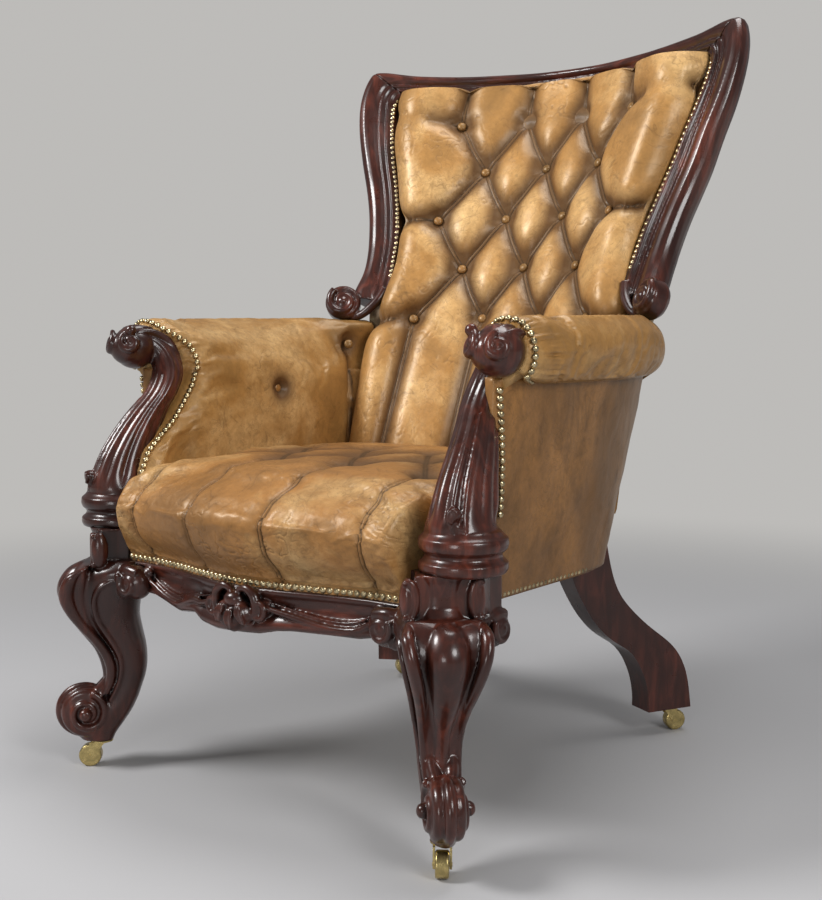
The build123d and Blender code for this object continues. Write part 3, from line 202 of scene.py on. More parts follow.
def fuller(size, ends, more):
    """Radius of a bead that is fullest in the middle of its path."""
    return lambda share: size * (ends + more * sin(pi * share))


def thinning(size, start, loss):
    """Radius of a bead that thins along its path."""
    return lambda share: size * (start - loss * share)


def applied(made):
    """Puts the piece's modifiers into its mesh."""
    graph = bpy.context.evaluated_depsgraph_get()
    mesh = bpy.data.meshes.new_from_object(made.evaluated_get(graph))
    made.modifiers.clear()
    old = made.data
    made.data = mesh
    bpy.data.meshes.remove(old)
    mesh.name = made.name
    mesh.shade_smooth()
    return made


def carved(made, fine, rounds):
    """Joins the parts of a carving under one skin and eases its corners."""
    skin = made.modifiers.new("Skin", "REMESH")
    skin.mode = "VOXEL"
    skin.voxel_size = fine * MM
    skin.use_smooth_shade = True
    ease = made.modifiers.new("Ease", "SMOOTH")
    ease.factor = 0.5
    ease.iterations = rounds
    return applied(made)


def finished(made, nodes, body="root"):
    """Sets what a piece rides on and hides the nodes that it stands for."""
    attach(made, body)
    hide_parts(*nodes)
    return made


def mesh_points(made):
    data = np.zeros(len(made.data.vertices) * 3)
    made.data.vertices.foreach_get("co", data)
    return data.reshape(-1, 3)


def placed(made):
    """Places of a piece's points in millimetres, as x, y and z."""
    return (mesh_points(made) / MM - np.array([0, FRONT_Y, 0])).T


def mesh_normals(made):
    data = np.zeros(len(made.data.vertices) * 3, np.float32)
    made.data.vertices.foreach_get("normal", data)
    return data.reshape(-1, 3).astype(float)


def set_points(made, points):
    made.data.vertices.foreach_set("co", points.astype(np.float32).ravel())
    made.data.update()


def shaded_by(made, name, values):
    """Keeps one number for each point of a piece, for its material. The larger of two stays."""
    layer = made.data.attributes.get(name)
    if layer is None:
        layer = made.data.attributes.new(name, "FLOAT", "POINT")
    before = np.zeros(len(values), np.float32)
    layer.data.foreach_get("value", before)
    layer.data.foreach_set("value", np.maximum(before, values).astype(np.float32))


def line_gap(points, normals, line):
    """Gap from each point to a line, seen along the point's own normal, and the line's depth below."""
    best = np.full(len(points), np.inf)
    gap = np.full(len(points), np.inf)
    depth = np.full(len(points), np.inf)
    for start, end in zip(line, line[1:]):
        a = np.array(start)
        run = np.array(end) - a
        share = np.clip((points - a) @ run / (run @ run), 0, 1)
        reach = a + share[:, None] * run - points
        full = np.einsum("ij,ij->i", reach, reach)
        deep = np.einsum("ij,ij->i", reach, normals)
        nearer = full < best
        best[nearer] = full[nearer]
        gap[nearer] = np.sqrt(np.maximum(full - deep ** 2, 0))[nearer]
        depth[nearer] = np.abs(deep)[nearer]
    return gap / MM, depth / MM


# Reach of the painted shade round each button of a pad.
BUTTON_SHADE_REACH = 25.0


def tufted(made, buttons, pleats, sizes):
    """Pulls buttons into a pad and folds the pleats that run from them, and keeps where painted shade
    darkens its grooves, button mouths and hollows.
    """
    points = mesh_points(made)
    normals = mesh_normals(made)
    swell = np.ones(len(points))
    fold = np.zeros(len(points))
    valley = np.zeros(len(points))
    dent = np.zeros(len(points))
    button_shade = np.zeros(len(points))
    strip = sizes["strip"]
    for line in pleats:
        gap, depth = line_gap(points, normals, line)
        near = np.exp(-(depth / sizes["reach"]) ** 4)
        swell *= 1 - near * np.exp(-(gap / sizes["soft"]) ** 1.35)
        groove = np.exp(-((gap - strip) / sizes["groove"]) ** 2)
        band = np.exp(-(gap / strip) ** 4)
        fold += near * (band * sizes["band"] - groove * sizes["cut"])
        valley = np.maximum(valley, near * groove)
    for base in buttons:
        reach = np.array(base) - points
        depth = np.einsum("ij,ij->i", reach, normals)
        far = np.sqrt(np.maximum(np.einsum("ij,ij->i", reach, reach) - depth ** 2, 0)) / MM
        near = np.exp(-(depth / MM / sizes["reach"]) ** 4)
        swell *= 1 - near * np.exp(-(far / sizes["soft"]) ** 2)
        mouth = near * np.exp(-(far / sizes["mouth"]) ** 2)
        dent = np.maximum(dent, mouth)
        # Painted shade round each button, where the hide dips to it.
        button_shade = np.maximum(button_shade, near * np.exp(-(far / BUTTON_SHADE_REACH) ** 2))
        valley = np.maximum(valley, 0.9 * mouth)
    sink = sizes["height"] * (1 - swell) + sizes["dent"] * dent
    fold *= 1 - np.clip(dent * 1.4, 0, 1)
    set_points(made, points + normals * ((fold - sink) * MM)[:, None])
    # Painted shade, partly dark wax: valley marks the grooves and button mouths, hollow the pulled-in hide
    # and the shade round the buttons, scaled by the tuft sizes.
    shaded_by(made, "valley", np.clip(valley, 0, 1))
    shaded_by(made, "hollow", np.maximum(np.clip(1 - swell, 0, 1) * sizes["darkening"], button_shade))
    return made


WRINKLE_WIDTH = 0.055
WRINKLE_PATCH = 3.5


def wrinkled(made, scale, depth, seed):
    """Cuts the wandering wrinkles of old hide into a piece, deeper in some places than in others."""
    points = mesh_points(made)
    values = np.zeros(len(points))
    share = np.zeros(len(points))
    for i, point in enumerate(points / MM):
        place = Vector(point)
        start = place / scale + Vector((seed, 0, 0))
        values[i] = noise.noise(start) + 0.45 * noise.noise(start * 2.7)
        share[i] = noise.noise(place / (scale * WRINKLE_PATCH) + Vector((0, seed, 0)))
    line = np.exp(-(values / WRINKLE_WIDTH) ** 2) * np.clip(0.45 + 1.6 * share, 0, 1)
    set_points(made, points + mesh_normals(made) * ((0.7 * values - line) * depth * MM)[:, None])
    # Painted shade, partly dirt: the wrinkle lines also darken the colour of the hide.
    shaded_by(made, "valley", 0.55 * line)
    return made


# Finishes
def opaque(colour):
    return tuple(colour)[:3] + (1.0,)


class Paint:
    """Short hand for the nodes of one material."""

    def __init__(self, name):
        self.material = bpy.data.materials.new(name)
        self.material.use_nodes = True
        self.tree = self.material.node_tree
        self.shader = self.tree.nodes["Principled BSDF"]
        self.place = self.add("ShaderNodeTexCoord").outputs["Object"]

    def add(self, kind, **values):
        made = self.tree.nodes.new(kind)
        for key, value in values.items():
            setattr(made, key, value)
        return made

    def join(self, source, target):
        self.tree.links.new(source, target)
        return target

    def stretched(self, x, y, z):
        made = self.add("ShaderNodeMapping")
        made.inputs["Scale"].default_value = (x, y, z)
        self.join(self.place, made.inputs["Vector"])
        return made.outputs["Vector"]

    def noise(self, scale, detail=4.0, rough=0.55, bend=0.0, place=None):
        made = self.add("ShaderNodeTexNoise")
        made.inputs["Scale"].default_value = scale
        made.inputs["Detail"].default_value = detail
        made.inputs["Roughness"].default_value = rough
        made.inputs["Distortion"].default_value = bend
        self.join(place or self.place, made.inputs["Vector"])
        return made.outputs["Fac"]

    def cells(self, scale):
        made = self.add("ShaderNodeTexVoronoi", feature="F1")
        made.inputs["Scale"].default_value = scale
        self.join(self.place, made.inputs["Vector"])
        return made.outputs["Distance"]

    def ramp(self, source, *stops):
        made = self.add("ShaderNodeValToRGB")
        band = made.color_ramp
        for spot, colour in stops[2:]:
            band.elements.new(spot)
        for element, (spot, colour) in zip(band.elements, sorted(stops, key=lambda stop: stop[0])):
            element.position = spot
            element.color = opaque(colour if hasattr(colour, "__len__") else (colour,) * 3)
        self.join(source, made.inputs["Fac"])
        return made.outputs["Color"]

    def feed(self, socket, value):
        """Joins an output to a socket, or writes a number or a colour on it."""
        if hasattr(value, "links"):
            self.join(value, socket)
        elif isinstance(value, (int, float)):
            socket.default_value = value
        else:
            socket.default_value = opaque(value)

    def mixed(self, share, first, second, mode="MIX"):
        made = self.add("ShaderNodeMix", data_type="RGBA", blend_type=mode)
        self.feed(made.inputs[0], share)
        self.feed(made.inputs[6], first)
        self.feed(made.inputs[7], second)
        return made.outputs[2]

    def maths(self, operation, first, second=0.0):
        made = self.add("ShaderNodeMath", operation=operation)
        self.feed(made.inputs[0], first)
        self.feed(made.inputs[1], second)
        return made.outputs[0]

    def scaled(self, source, low, high):
        made = self.add("ShaderNodeMapRange")
        made.inputs["To Min"].default_value = low
        made.inputs["To Max"].default_value = high
        self.join(source, made.inputs["Value"])
        return made.outputs["Result"]

    def kept(self, name):
        return self.add("ShaderNodeAttribute", attribute_name=name).outputs["Fac"]

    def bump(self, *layers):
        """Bumps laid one over the other, as (height, strength, distance in millimetres)."""
        before = None
        for height, strength, distance in layers:
            made = self.add("ShaderNodeBump")
            made.inputs["Strength"].default_value = strength
            made.inputs["Distance"].default_value = distance * MM
            self.join(height, made.inputs["Height"])
            if before is not None:
                self.join(before, made.inputs["Normal"])
            before = made.outputs["Normal"]
        self.join(before, self.shader.inputs["Normal"])

    def colour(self, source):
        self.join(source, self.shader.inputs["Base Color"])

    def gloss(self, source):
        self.join(source, self.shader.inputs["Roughness"])

    def fixed(self, **values):
        for key, value in values.items():
            self.shader.inputs[key.replace("_", " ").title().replace("Ior", "IOR")].default_value = value


def shade(colour, by):
    return tuple(min(channel * by, 1.0) for channel in tuple(colour)[:3])


def polished_wood(name, colour, grain, rough):
    """French polished wood: streaked grain, painted shade in its recesses that also stands for dark old
    polish, and a glossy coat.
    """
    paint = Paint(name)
    along = paint.stretched(*grain)
    streak = paint.noise(9.0, 8.0, 0.62, 0.9, along)
    cloud = paint.noise(7.0, 3.0, 0.5)
    dark = (0.28, shade(colour, 0.35))
    pale = (0.74, shade(colour, 2.7))
    tone = paint.ramp(streak, dark, (0.5, shade(colour, 0.9)), pale)
    tone = paint.mixed(paint.ramp(cloud, (0.38, 0.85), (0.66, 0.0)), tone, shade(colour, 0.30))
    # Painted shade, partly dark old polish: ambient occlusion darkens the colour in the recesses of the
    # carving.
    hollow = paint.add("ShaderNodeAmbientOcclusion", samples=6)
    hollow.inputs["Distance"].default_value = 14 * MM
    painted_recess_shade = paint.ramp(hollow.outputs["AO"], (0.25, 0.10), (0.90, 1.0))
    paint.colour(paint.mixed(1.0, tone, painted_recess_shade, "MULTIPLY"))
    scuff = paint.noise(38.0, 5.0, 0.6)
    paint.gloss(paint.scaled(scuff, rough * 0.7, rough * 1.7))
    paint.bump((streak, 0.10, 0.25), (paint.noise(55.0, 3.0), 0.16, 0.5))
    paint.fixed(coat_weight=0.36, coat_roughness=0.11, specular_ior_level=0.34)
    return paint.material


def crease_lines(paint, texture, width, strength, where):
    """Thin wandering lines along the middle of a noise, where another noise lets them show."""
    middle = paint.maths("ABSOLUTE", paint.maths("SUBTRACT", texture, 0.5))
    return paint.maths("MULTIPLY", paint.ramp(middle, (0.0, strength), (width, 0.0)), where)


def aged_leather(name, colour, dark, pale, rough, stretch=(1.0, 1.0, 1.0), worn=0.5):
    """Waxed hide: patina in clouds, painted shade in hollows and pleats that also stands for dark wax, fine
    creases and pores.
    """
    paint = Paint(name)
    place = paint.stretched(*stretch)
    cloud = paint.noise(6.0, 6.0, 0.60, 0.5, place)
    spots = paint.noise(30.0, 6.0, 0.7, 0.5, place)
    fine = paint.noise(140.0, 4.0, 0.7)
    tone = paint.ramp(cloud, (0.32, shade(colour, 0.62)), (0.50, colour), (0.70, pale))
    tone = paint.mixed(paint.ramp(spots, (0.48, 0.0), (0.74, worn)), tone, shade(colour, 0.38))
    tone = paint.mixed(paint.ramp(fine, (0.38, 0.25), (0.60, 0.0)), tone, shade(colour, 0.5))
    # Painted shade, partly dark wax: the hide darkens towards the dark colour where it is pulled into
    # hollows and round its buttons.
    hollow = paint.kept("hollow")
    depth = paint.ramp(hollow, (0.08, 0.0), (0.66, 0.95))
    patina_and_shade = paint.maths("MULTIPLY", depth, paint.scaled(cloud, 0.75, 1.15))
    tone = paint.mixed(patina_and_shade, tone, dark)
    rubbed = paint.ramp(spots, (0.40, 0.0), (0.62, 1.0))
    folded = paint.ramp(cloud, (0.42, 0.2), (0.62, 1.0))
    long_lines = crease_lines(paint, paint.noise(7.0, 3.0, 0.6, 1.6), 0.012, 0.9, rubbed)
    hair_lines = crease_lines(paint, paint.noise(26.0, 4.0, 0.65, 1.1), 0.020, 0.7, folded)
    lines = paint.maths("MAXIMUM", long_lines, hair_lines)
    tone = paint.mixed(paint.maths("MULTIPLY", lines, 0.45), tone, shade(dark, 0.8))
    # Painted shade, partly dirt: grooves, button mouths and wrinkles darken almost to black.
    groove = paint.kept("valley")
    tone = paint.mixed(paint.ramp(groove, (0.30, 0.0), (0.95, 0.90)), tone, shade(dark, 0.30))
    paint.colour(tone)
    dull = paint.maths("ADD", paint.maths("MULTIPLY", groove, 0.30), paint.maths("MULTIPLY", hollow, 0.10))
    paint.gloss(paint.maths("ADD", paint.scaled(spots, rough * 0.75, rough * 1.35), dull))
    pores = paint.cells(620.0)
    paint.bump(
        (paint.maths("SUBTRACT", 1.0, lines), 0.30, 0.7),
        (paint.noise(20.0, 5.0, 0.62, 0.9), 0.42, 3.2),
        (pores, 0.14, 0.25),
    )
    paint.fixed(specular_ior_level=0.55, specular_tint=(1.0, 0.80, 0.52, 1.0))
    paint.fixed(coat_weight=0.13, coat_roughness=0.24, coat_tint=(1.0, 0.88, 0.70, 1.0))
    return paint.material


def old_brass(name, colour, tarnish, rough):
    paint = Paint(name)
    patch = paint.noise(85.0, 5.0, 0.65, 0.4)
    wipe = paint.noise(420.0, 3.0, 0.6)
    dull = (0.34, shade(colour, 1.0 - tarnish))
    paint.colour(paint.ramp(patch, dull, (0.56, colour), (0.8, shade(colour, 1.25))))
    paint.gloss(paint.scaled(patch, rough * 1.7, rough * 0.7))
    paint.bump((wipe, 0.12, 0.12), (patch, 0.15, 0.3))
    paint.fixed(metallic=1.0)
    return paint.material


CLOTH_ROUGH = 0.95


def woven(name, colour, pitch):
    """Plain weave of coarse threads, with slubs and stains."""
    paint = Paint(name)
    threads = []
    for axis in ("X", "Y"):
        wave = paint.add("ShaderNodeTexWave", wave_type="BANDS", bands_direction=axis)
        wave.inputs["Scale"].default_value = 1.0 / (pitch * MM * 20)
        wave.inputs["Distortion"].default_value = 0.6
        paint.join(paint.place, wave.inputs["Vector"])
        threads.append(wave.outputs["Fac"])
    cloth = paint.maths("MULTIPLY", threads[0], threads[1])
    darkening = paint.noise(14.0, 5.0, 0.6)
    tone = paint.mixed(paint.scaled(darkening, 0.1, 0.7), colour, shade(colour, 0.6))
    paint.colour(paint.mixed(paint.scaled(cloth, 0.35, 0.0), tone, shade(colour, 0.35)))
    paint.gloss(paint.scaled(darkening, CLOTH_ROUGH * 0.9, min(CLOTH_ROUGH * 1.1, 1.0)))
    paint.bump((cloth, 0.5, 0.6))
    return paint.material


def raw_metal(name, colour, rough):
    paint = Paint(name)
    streak = paint.noise(240.0, 4.0, 0.6)
    paint.colour(paint.ramp(streak, (0.35, shade(colour, 0.65)), (0.65, shade(colour, 1.2))))
    paint.gloss(paint.scaled(streak, rough * 0.8, rough * 1.3))
    paint.bump((streak, 0.12, 0.15))
    paint.fixed(metallic=1.0)
    return paint.material


def finishes(scene):
    """Every finish of the chair, made once from the colours in the panel."""
    colours = scene.armchair_colours
    if "Mahogany" in bpy.data.materials:
        return bpy.data.materials
    polished_wood("Mahogany", colours.mahogany, (7.0, 7.0, 1.2), 0.26)
    polished_wood("Mahogany rail", colours.mahogany, (1.2, 7.0, 7.0), 0.26)
    polished_wood("Beech", colours.beech, (5.0, 1.0, 5.0), 0.5)
    dark = colours.patina_and_shade
    pale = colours.worn_leather
    aged_leather("Back leather", colours.back_leather, dark, pale, 0.36)
    aged_leather("Arm leather", colours.arm_leather, dark, shade(pale, 0.80), 0.38)
    aged_leather("Seat leather", colours.seat_leather, dark, shade(pale, 0.70), 0.44, worn=0.7)
    aged_leather("Outside leather", colours.outside_leather, shade(dark, 0.8), colours.seat_leather, 0.42,
                 (1.0, 1.0, 0.55), 0.6)
    aged_leather("Button leather", shade(colours.back_leather, 0.55), dark, colours.seat_leather, 0.34)
    old_brass("Nail brass", colours.nail_brass, 0.6, 0.24)
    old_brass("Castor brass", colours.castor_brass, 0.45, 0.24)
    woven("Hessian", colours.hessian, 1.6)
    woven("Webbing", shade(colours.hessian, 1.2), 2.4)
    raw_metal("Spring steel", (0.42, 0.34, 0.27), 0.42)
    raw_metal("Screw steel", (0.36, 0.35, 0.34), 0.5)
    return bpy.data.materials


# Front leg, drawn outward (u) and across (w) from its castor stem
STEM_X = 301.0
CORNER = sqrt(0.5)
# Height, rearmost u, foremost u and half width of each section
LEG_ROWS = [
    (38, -15, 27, 15),
    (48, -20, 36, 17),
    (62, -30, 40, 21),
    (80, -42, 24, 23),
    (98, -51, 2, 24),
    (112, -56, -8, 25),
    (130, -62, -14, 26),
    (147, -65, -15, 28),
    (166, -65, -12, 31),
    (181, -63, -4, 34),
    (200, -59, 12, 38),
    (220, -56, 28, 43),
    (240, -58, 38, 48),
    (258, -62, 41, 51),
    (274, -66, 38, 53),
    (286, -70, 28, 54),
    (294, -72, 12, 52),
    (302, -72, -2, 48),
]
# Line of the bead down each side of the leg, as (u, z)
LEG_BEAD = [
    (-47, 258), (-33, 275), (-17, 273), (-4, 264), (2, 250), (2, 236), (-2, 219), (-11, 202),
    (-22, 182), (-29, 165), (-31, 148), (-28, 129), (-21, 112), (-13, 98),
]
BEAD_SINK = 3.0
# Cabochon down the front of the knee, as (u, z, radius)
LEG_RIDGE = [
    (16, 297, 9), (24, 288, 18), (30, 273, 24), (33, 257, 25.5), (31, 240, 23.5), (25, 222, 20),
    (17, 204, 17), (7, 187, 14), (-3, 170, 11.5), (-9, 150, 9.5), (-11, 130, 8.5), (-7, 112, 8),
]
# Ridges beside the cabochon, as (u, z, w, radius)
LEG_FLANK = [
    (14, 294, 42, 4), (30, 284, 45, 7), (39, 266, 43, 8), (40, 248, 39, 8), (32, 227, 34, 7.5),
    (18, 206, 29, 7), (2, 186, 25, 6.5), (-10, 166, 22, 6), (-16, 146, 20, 5.5), (-14, 126, 19, 5),
    (-6, 108, 18, 5),
]
FLANK_DEEP = 1.3
# Web between them: its half depth and setback in shares of the cabochon's radius, and its lap on the ridges
WEB_DEEP = 0.74
WEB_BACK = 0.40
WEB_LAP = 2.0
# Eye of the knee, as (u, w, z)
KNEE_EYE = (-40, 50, 262)
TOE_OUT = 20.0
TOE_UP = 81.0
TOE_LONG = 39.0
TOE_TALL = 37.0
# Turning of the volute on one side of the toe, as (radius, distance from the keel)
TOE_DISC = [(30, 0), (34, 5), (35.5, 9), (35.5, 13), (33, 17), (29, 19), (20, 19.5), (8, 19)]
TOE_BOSS = [(9, 16), (9, 28), (7.5, 31), (5, 33), (1.5, 34)]
# Vein from the shank down to the volute, as (u, w, z)
TOE_VEIN = [(-24, 13, 150), (-14, 12, 130), (0, 10, 114), (14, 6, 106)]
# Keel over the front of the toe: its first angle, the turn of each step, its steps and its share of the toe
KEEL_START = 112
KEEL_TURN = 5.4
KEEL_STEPS = 36
KEEL_SHARE = 0.97
# Plan of the block over the knee, as (x, y) from the stem
BLOCK_PLAN = [(-24, -23), (33, 33), (23, 59), (23, 86), (-51, 86), (-51, 12), (-41, 2)]
BLOCK_LOW = 296.0
BLOCK_TOP = 345.0
# Canted face of the block, as (height, how far it stands out, half width)
BLOCK_FACE = [(286, 22, 28), (296, 12, 25), (308, 5, 21), (322, 4, 20), (336, 7, 22), (346, 11, 26)]
BLOCK_FACE_BACK = 8
# Scroll at each edge of that face: first angle, turn of each step, steps, and its reach across and up
CURL_START = -125
CURL_TURN = 7.6
CURL_STEPS = 34
CURL_ACROSS = 9
CURL_UP = 22


def leg_at(u, w, z):
    return at(STEM_X + (u - w) * CORNER, -(u + w) * CORNER, z)


OUT = Vector((CORNER, -CORNER, 0))
ACROSS = Vector((-CORNER, -CORNER, 0))


def leg_ring(row, sides=44):
    """Rounded section, narrower towards its front."""
    z, back, front, half = row
    middle = (back + front) / 2
    reach = (front - back) / 2
    ring = []
    for t in turns(sides):
        u = middle + reach * cos(t)
        taper = 1 - 0.20 * cos(t)
        w = half * taper * sin(t) * (1 + 0.05 * cos(2 * t))
        ring.append(leg_at(u, w, z))
    return ring


def half_width(z):
    return column(LEG_ROWS, z, 3)


def front_leg_form(bead):
    form = Form()
    form.skin([leg_ring(row) for row in blended(LEG_ROWS, 70)])
    ridge = blended(LEG_RIDGE, 60)
    form.skin([[leg_at(u + r * cos(t), r * sin(t), z) for t in turns(30)] for u, z, r in ridge])
    rings = []
    for u, z, radius in ridge:
        reach = np.interp(-z, [-row[1] for row in LEG_FLANK], [row[2] for row in LEG_FLANK]) + WEB_LAP
        deep = [u + radius * (WEB_DEEP * cos(t) - WEB_BACK) for t in turns(40)]
        rings.append([leg_at(spot, reach * sin(t), z) for spot, t in zip(deep, turns(40))])
    form.skin(rings)
    for turn in (1, -1):
        line = blended(LEG_BEAD, 60)
        path = [leg_at(u, turn * (half_width(z) - BEAD_SINK), z) for u, z in line]
        form.tube(path, fuller(bead, 0.75, 0.5))
        rings = []
        for u, z, w, radius in blended(LEG_FLANK, 50):
            deep = radius * FLANK_DEEP
            rings.append([leg_at(u + deep * cos(t), turn * w + radius * sin(t), z) for t in turns(20)])
        form.skin(rings)
        u, w, z = KNEE_EYE
        eye = leg_at(u, turn * w, z)
        form.lobe(eye, OUT * 11 * MM, ACROSS * 7 * MM, Z_AXIS * 11 * MM)
        form.tube(spiral(eye + ACROSS * turn * 6 * MM, OUT, Z_AXIS, 11, 3, 1.3, 0.8), bead * 0.75)
        toe_side(form, turn, bead)
        block_lobe(form, turn, bead)
    toe_front(form, bead)
    form.skin([[at(STEM_X + x, y, z) for x, y in BLOCK_PLAN] for z in (BLOCK_LOW, BLOCK_TOP)])
    back = BLOCK_FACE_BACK
    form.skin([[leg_at(-back + (out + back) * cos(t), wide * sin(t), z) for t in turns(30)]
               for z, out, wide in BLOCK_FACE])
    knee_scrolls(form, bead)
    return form


def toe_side(form, turn, bead):
    """Volute of two beads on one side of the toe, with a boss at its eye."""
    centre = leg_at(TOE_OUT, 0, TOE_UP)
    side = ACROSS * turn
    form.turned(centre, side, TOE_DISC, 48)
    form.turned(centre, side, TOE_BOSS, 24)
    curl = spiral(centre + side * 20 * MM, OUT, Z_AXIS, 30, 9, 1.5, pi * 0.6, 80)
    form.tube(curl, thinning(bead, 1.7, 0.7), 14)
    vein = [leg_at(u, turn * w, z) for u, w, z in TOE_VEIN]
    form.tube(blended(vein, 24), swelling(8, 0.10, 0.74))


def toe_front(form, bead):
    """Keel that rolls over the front of the toe between its volutes."""
    centre = leg_at(TOE_OUT, 0, TOE_UP)
    form.lobe(centre, OUT * TOE_LONG * MM, ACROSS * 15 * MM, Z_AXIS * TOE_TALL * MM, 24, 32)
    path = []
    for step in range(KEEL_STEPS):
        t = radians(KEEL_START - step * KEEL_TURN)
        u = TOE_OUT + TOE_LONG * KEEL_SHARE * cos(t)
        path.append(leg_at(u, 0, TOE_UP + TOE_TALL * KEEL_SHARE * sin(t)))
    form.tube(path, swelling(2.2 * bead, 0.10, 0.80, 0.6))


def block_lobe(form, turn, bead):
    """C scroll at one edge of the canted face of the block."""
    centre = leg_at(-6, turn * 40, 318)
    form.lobe(centre, OUT * 12 * MM, ACROSS * 10 * MM, Z_AXIS * 25 * MM, 14, 22)
    path = []
    for step in range(CURL_STEPS):
        t = radians(CURL_START + step * CURL_TURN)
        across = -turn * CURL_ACROSS * cos(t) + turn * 1
        path.append(centre + OUT * 9 * MM + ACROSS * across * MM + Z_AXIS * (CURL_UP * sin(t)) * MM)
    form.tube(path, fuller(bead, 0.8, 0.8))


def knee_scrolls(form, bead):
    """Scrolled brackets that run from the knee under the side rail and the front rail."""
    for centre, face, side in (
        (at(STEM_X + 19, 80, 273), SIDEWAYS, Vector((0, 1, 0))),
        (at(STEM_X - 80, -8, 275), Vector((0, -1, 0)), Vector((-1, 0, 0))),
    ):
        form.lobe(centre - face * 8 * MM, side * 25 * MM, Z_AXIS * 24 * MM, face * 20 * MM, 14, 26)
        curl = spiral(centre + face * 9 * MM, side, Z_AXIS, 19, 4, 1.4, pi * 0.8, 50)
        form.tube(curl, thinning(bead, 1.5, 0.7))
        form.lobe(centre + face * 8 * MM, side * 6 * MM, Z_AXIS * 6 * MM, face * 6 * MM)
        root = centre - side * 52 * MM - face * 10 * MM
        stem = [
            root - Z_AXIS * 6 * MM,
            root + Z_AXIS * 8 * MM + side * 18 * MM,
            centre + Z_AXIS * 17 * MM - side * 8 * MM,
            centre + side * 14 * MM + Z_AXIS * 14 * MM,
        ]
        form.tube(blended(stem, 20), thinning(1, 11, 3))


# Arm support. Height, y and x of its middle, half depth and half width of each section
SUPPORT_ROWS = [
    (392, 39, 299, 44, 44),
    (402, 38, 298, 44, 39),
    (421, 47, 297, 47, 34),
    (450, 57, 295, 43, 30),
    (479, 70, 292, 36, 27),
    (505, 84, 287, 29, 24.5),
    (535, 104, 279, 24, 22.5),
    (561, 117, 281, 22.5, 22),
    (584, 119, 292, 22, 23),
    (602, 112, 304, 24, 25),
    (612, 98, 313, 24, 25),
]
# Turned collar at its foot, as (radius, height)
COLLAR = [
    (44, 343), (50, 345), (52.5, 350), (52, 357), (47, 361), (45, 364), (46, 368), (51, 372), (53, 378),
    (52, 385), (47, 389), (44, 393), (38, 396),
]
COLLAR_Y = 39
# Heights between which the reeds fade in and out, and over how much
REED_START = 396
REED_END = 618
REED_FADE_IN = 30
REED_FADE_OUT = 20
REEDS = 11
BALL = (316.0, 86.0, 597.0)
BALL_RADIUS = 31.5
# Ways that the two eyes of the ball face, and the way that each one winds
BALL_EYES = ((1, (0.55, -0.82, 0.16)), (-1, (-0.62, -0.76, 0.20)))
# Reeds over the head, as (shift across, radius)
HEAD_REEDS = ((-24, 6), (-12, 5), (0, 4.5), (12, 5), (24, 6))
HEAD_ROUND = 36
# Their way over the head, as (x, share of the shift, y, z, how far the middle one stands up)
HEAD_WAY = [
    (280, 0.6, 128, 546, 0), (290, 0.7, 132, 576, 0), (303, 0.9, 123, 598, 6), (312, 1.0, 106, 598, 23),
    (315, 0.95, 90, 598, 29), (316, 0.8, 74, 598, 28),
]


def reeded(angle):
    """Reeds all round, of the same depth."""
    ridge = abs(cos(angle * REEDS / 2)) ** 0.8
    return 0.93 + 0.10 * ridge


def arm_support_form(bead):
    form = Form()
    rings = []
    for z, y, x, deep, wide in blended(SUPPORT_ROWS, 70):
        fade = min(eased((z - REED_START) / REED_FADE_IN), eased((REED_END - z) / REED_FADE_OUT))
        ring = []
        for t in turns(132):
            reed = 1 + (reeded(t) - 1) * fade
            ring.append(at(x + wide * reed * cos(t), y + deep * reed * sin(t), z))
        rings.append(ring)
    form.skin(rings)
    form.skin([[at(STEM_X + radius * cos(t), COLLAR_Y + radius * sin(t), height) for t in turns(60)]
               for radius, height in COLLAR])
    ball = at(*BALL)
    form.lobe(ball, SIDEWAYS * BALL_RADIUS * MM, way(0, BALL_RADIUS, 0), Z_AXIS * BALL_RADIUS * MM, 24, 40)
    ball_carving(form, ball, bead)
    foot_scroll(form, bead)
    return form


def ball_carving(form, ball, bead):
    """Nose and crescent eyes of the ball, and the reeds that sweep over the scroll head."""
    nose = at(BALL[0], BALL[1] - 12, BALL[2] - 1)
    form.lobe(nose, SIDEWAYS * 27 * MM, way(0, 25, 0), Z_AXIS * 25 * MM, 18, 30)
    for turn, facing in BALL_EYES:
        face = Vector(facing).normalized()
        u = face.cross(Z_AXIS).normalized() * turn
        v = face.cross(u) * turn
        middle = ball + face * (BALL_RADIUS + 2.5) * MM
        form.tube(spiral(middle, u, v, 17, 5, 1.15, -0.5 * pi, 60), fuller(bead, 1.1, 0.7), 14)
        form.lobe(middle - face * 1 * MM, u * 5.5 * MM, v * 5.5 * MM, face * 6 * MM)
    tip = at(BALL[0] - 21, BALL[1] - 24, BALL[2] + 24)
    form.lobe(tip, SIDEWAYS * 8 * MM, way(0, 8, 0), Z_AXIS * 8 * MM)
    for shift, width in HEAD_REEDS:
        reach = sqrt(1 - (shift / HEAD_ROUND) ** 2)
        path = [at(x + shift * share, y, z + rise * reach) for x, share, y, z, rise in HEAD_WAY]
        form.tube(blended(path, 30), swelling(width, 0.10, 0.86, 0.7))


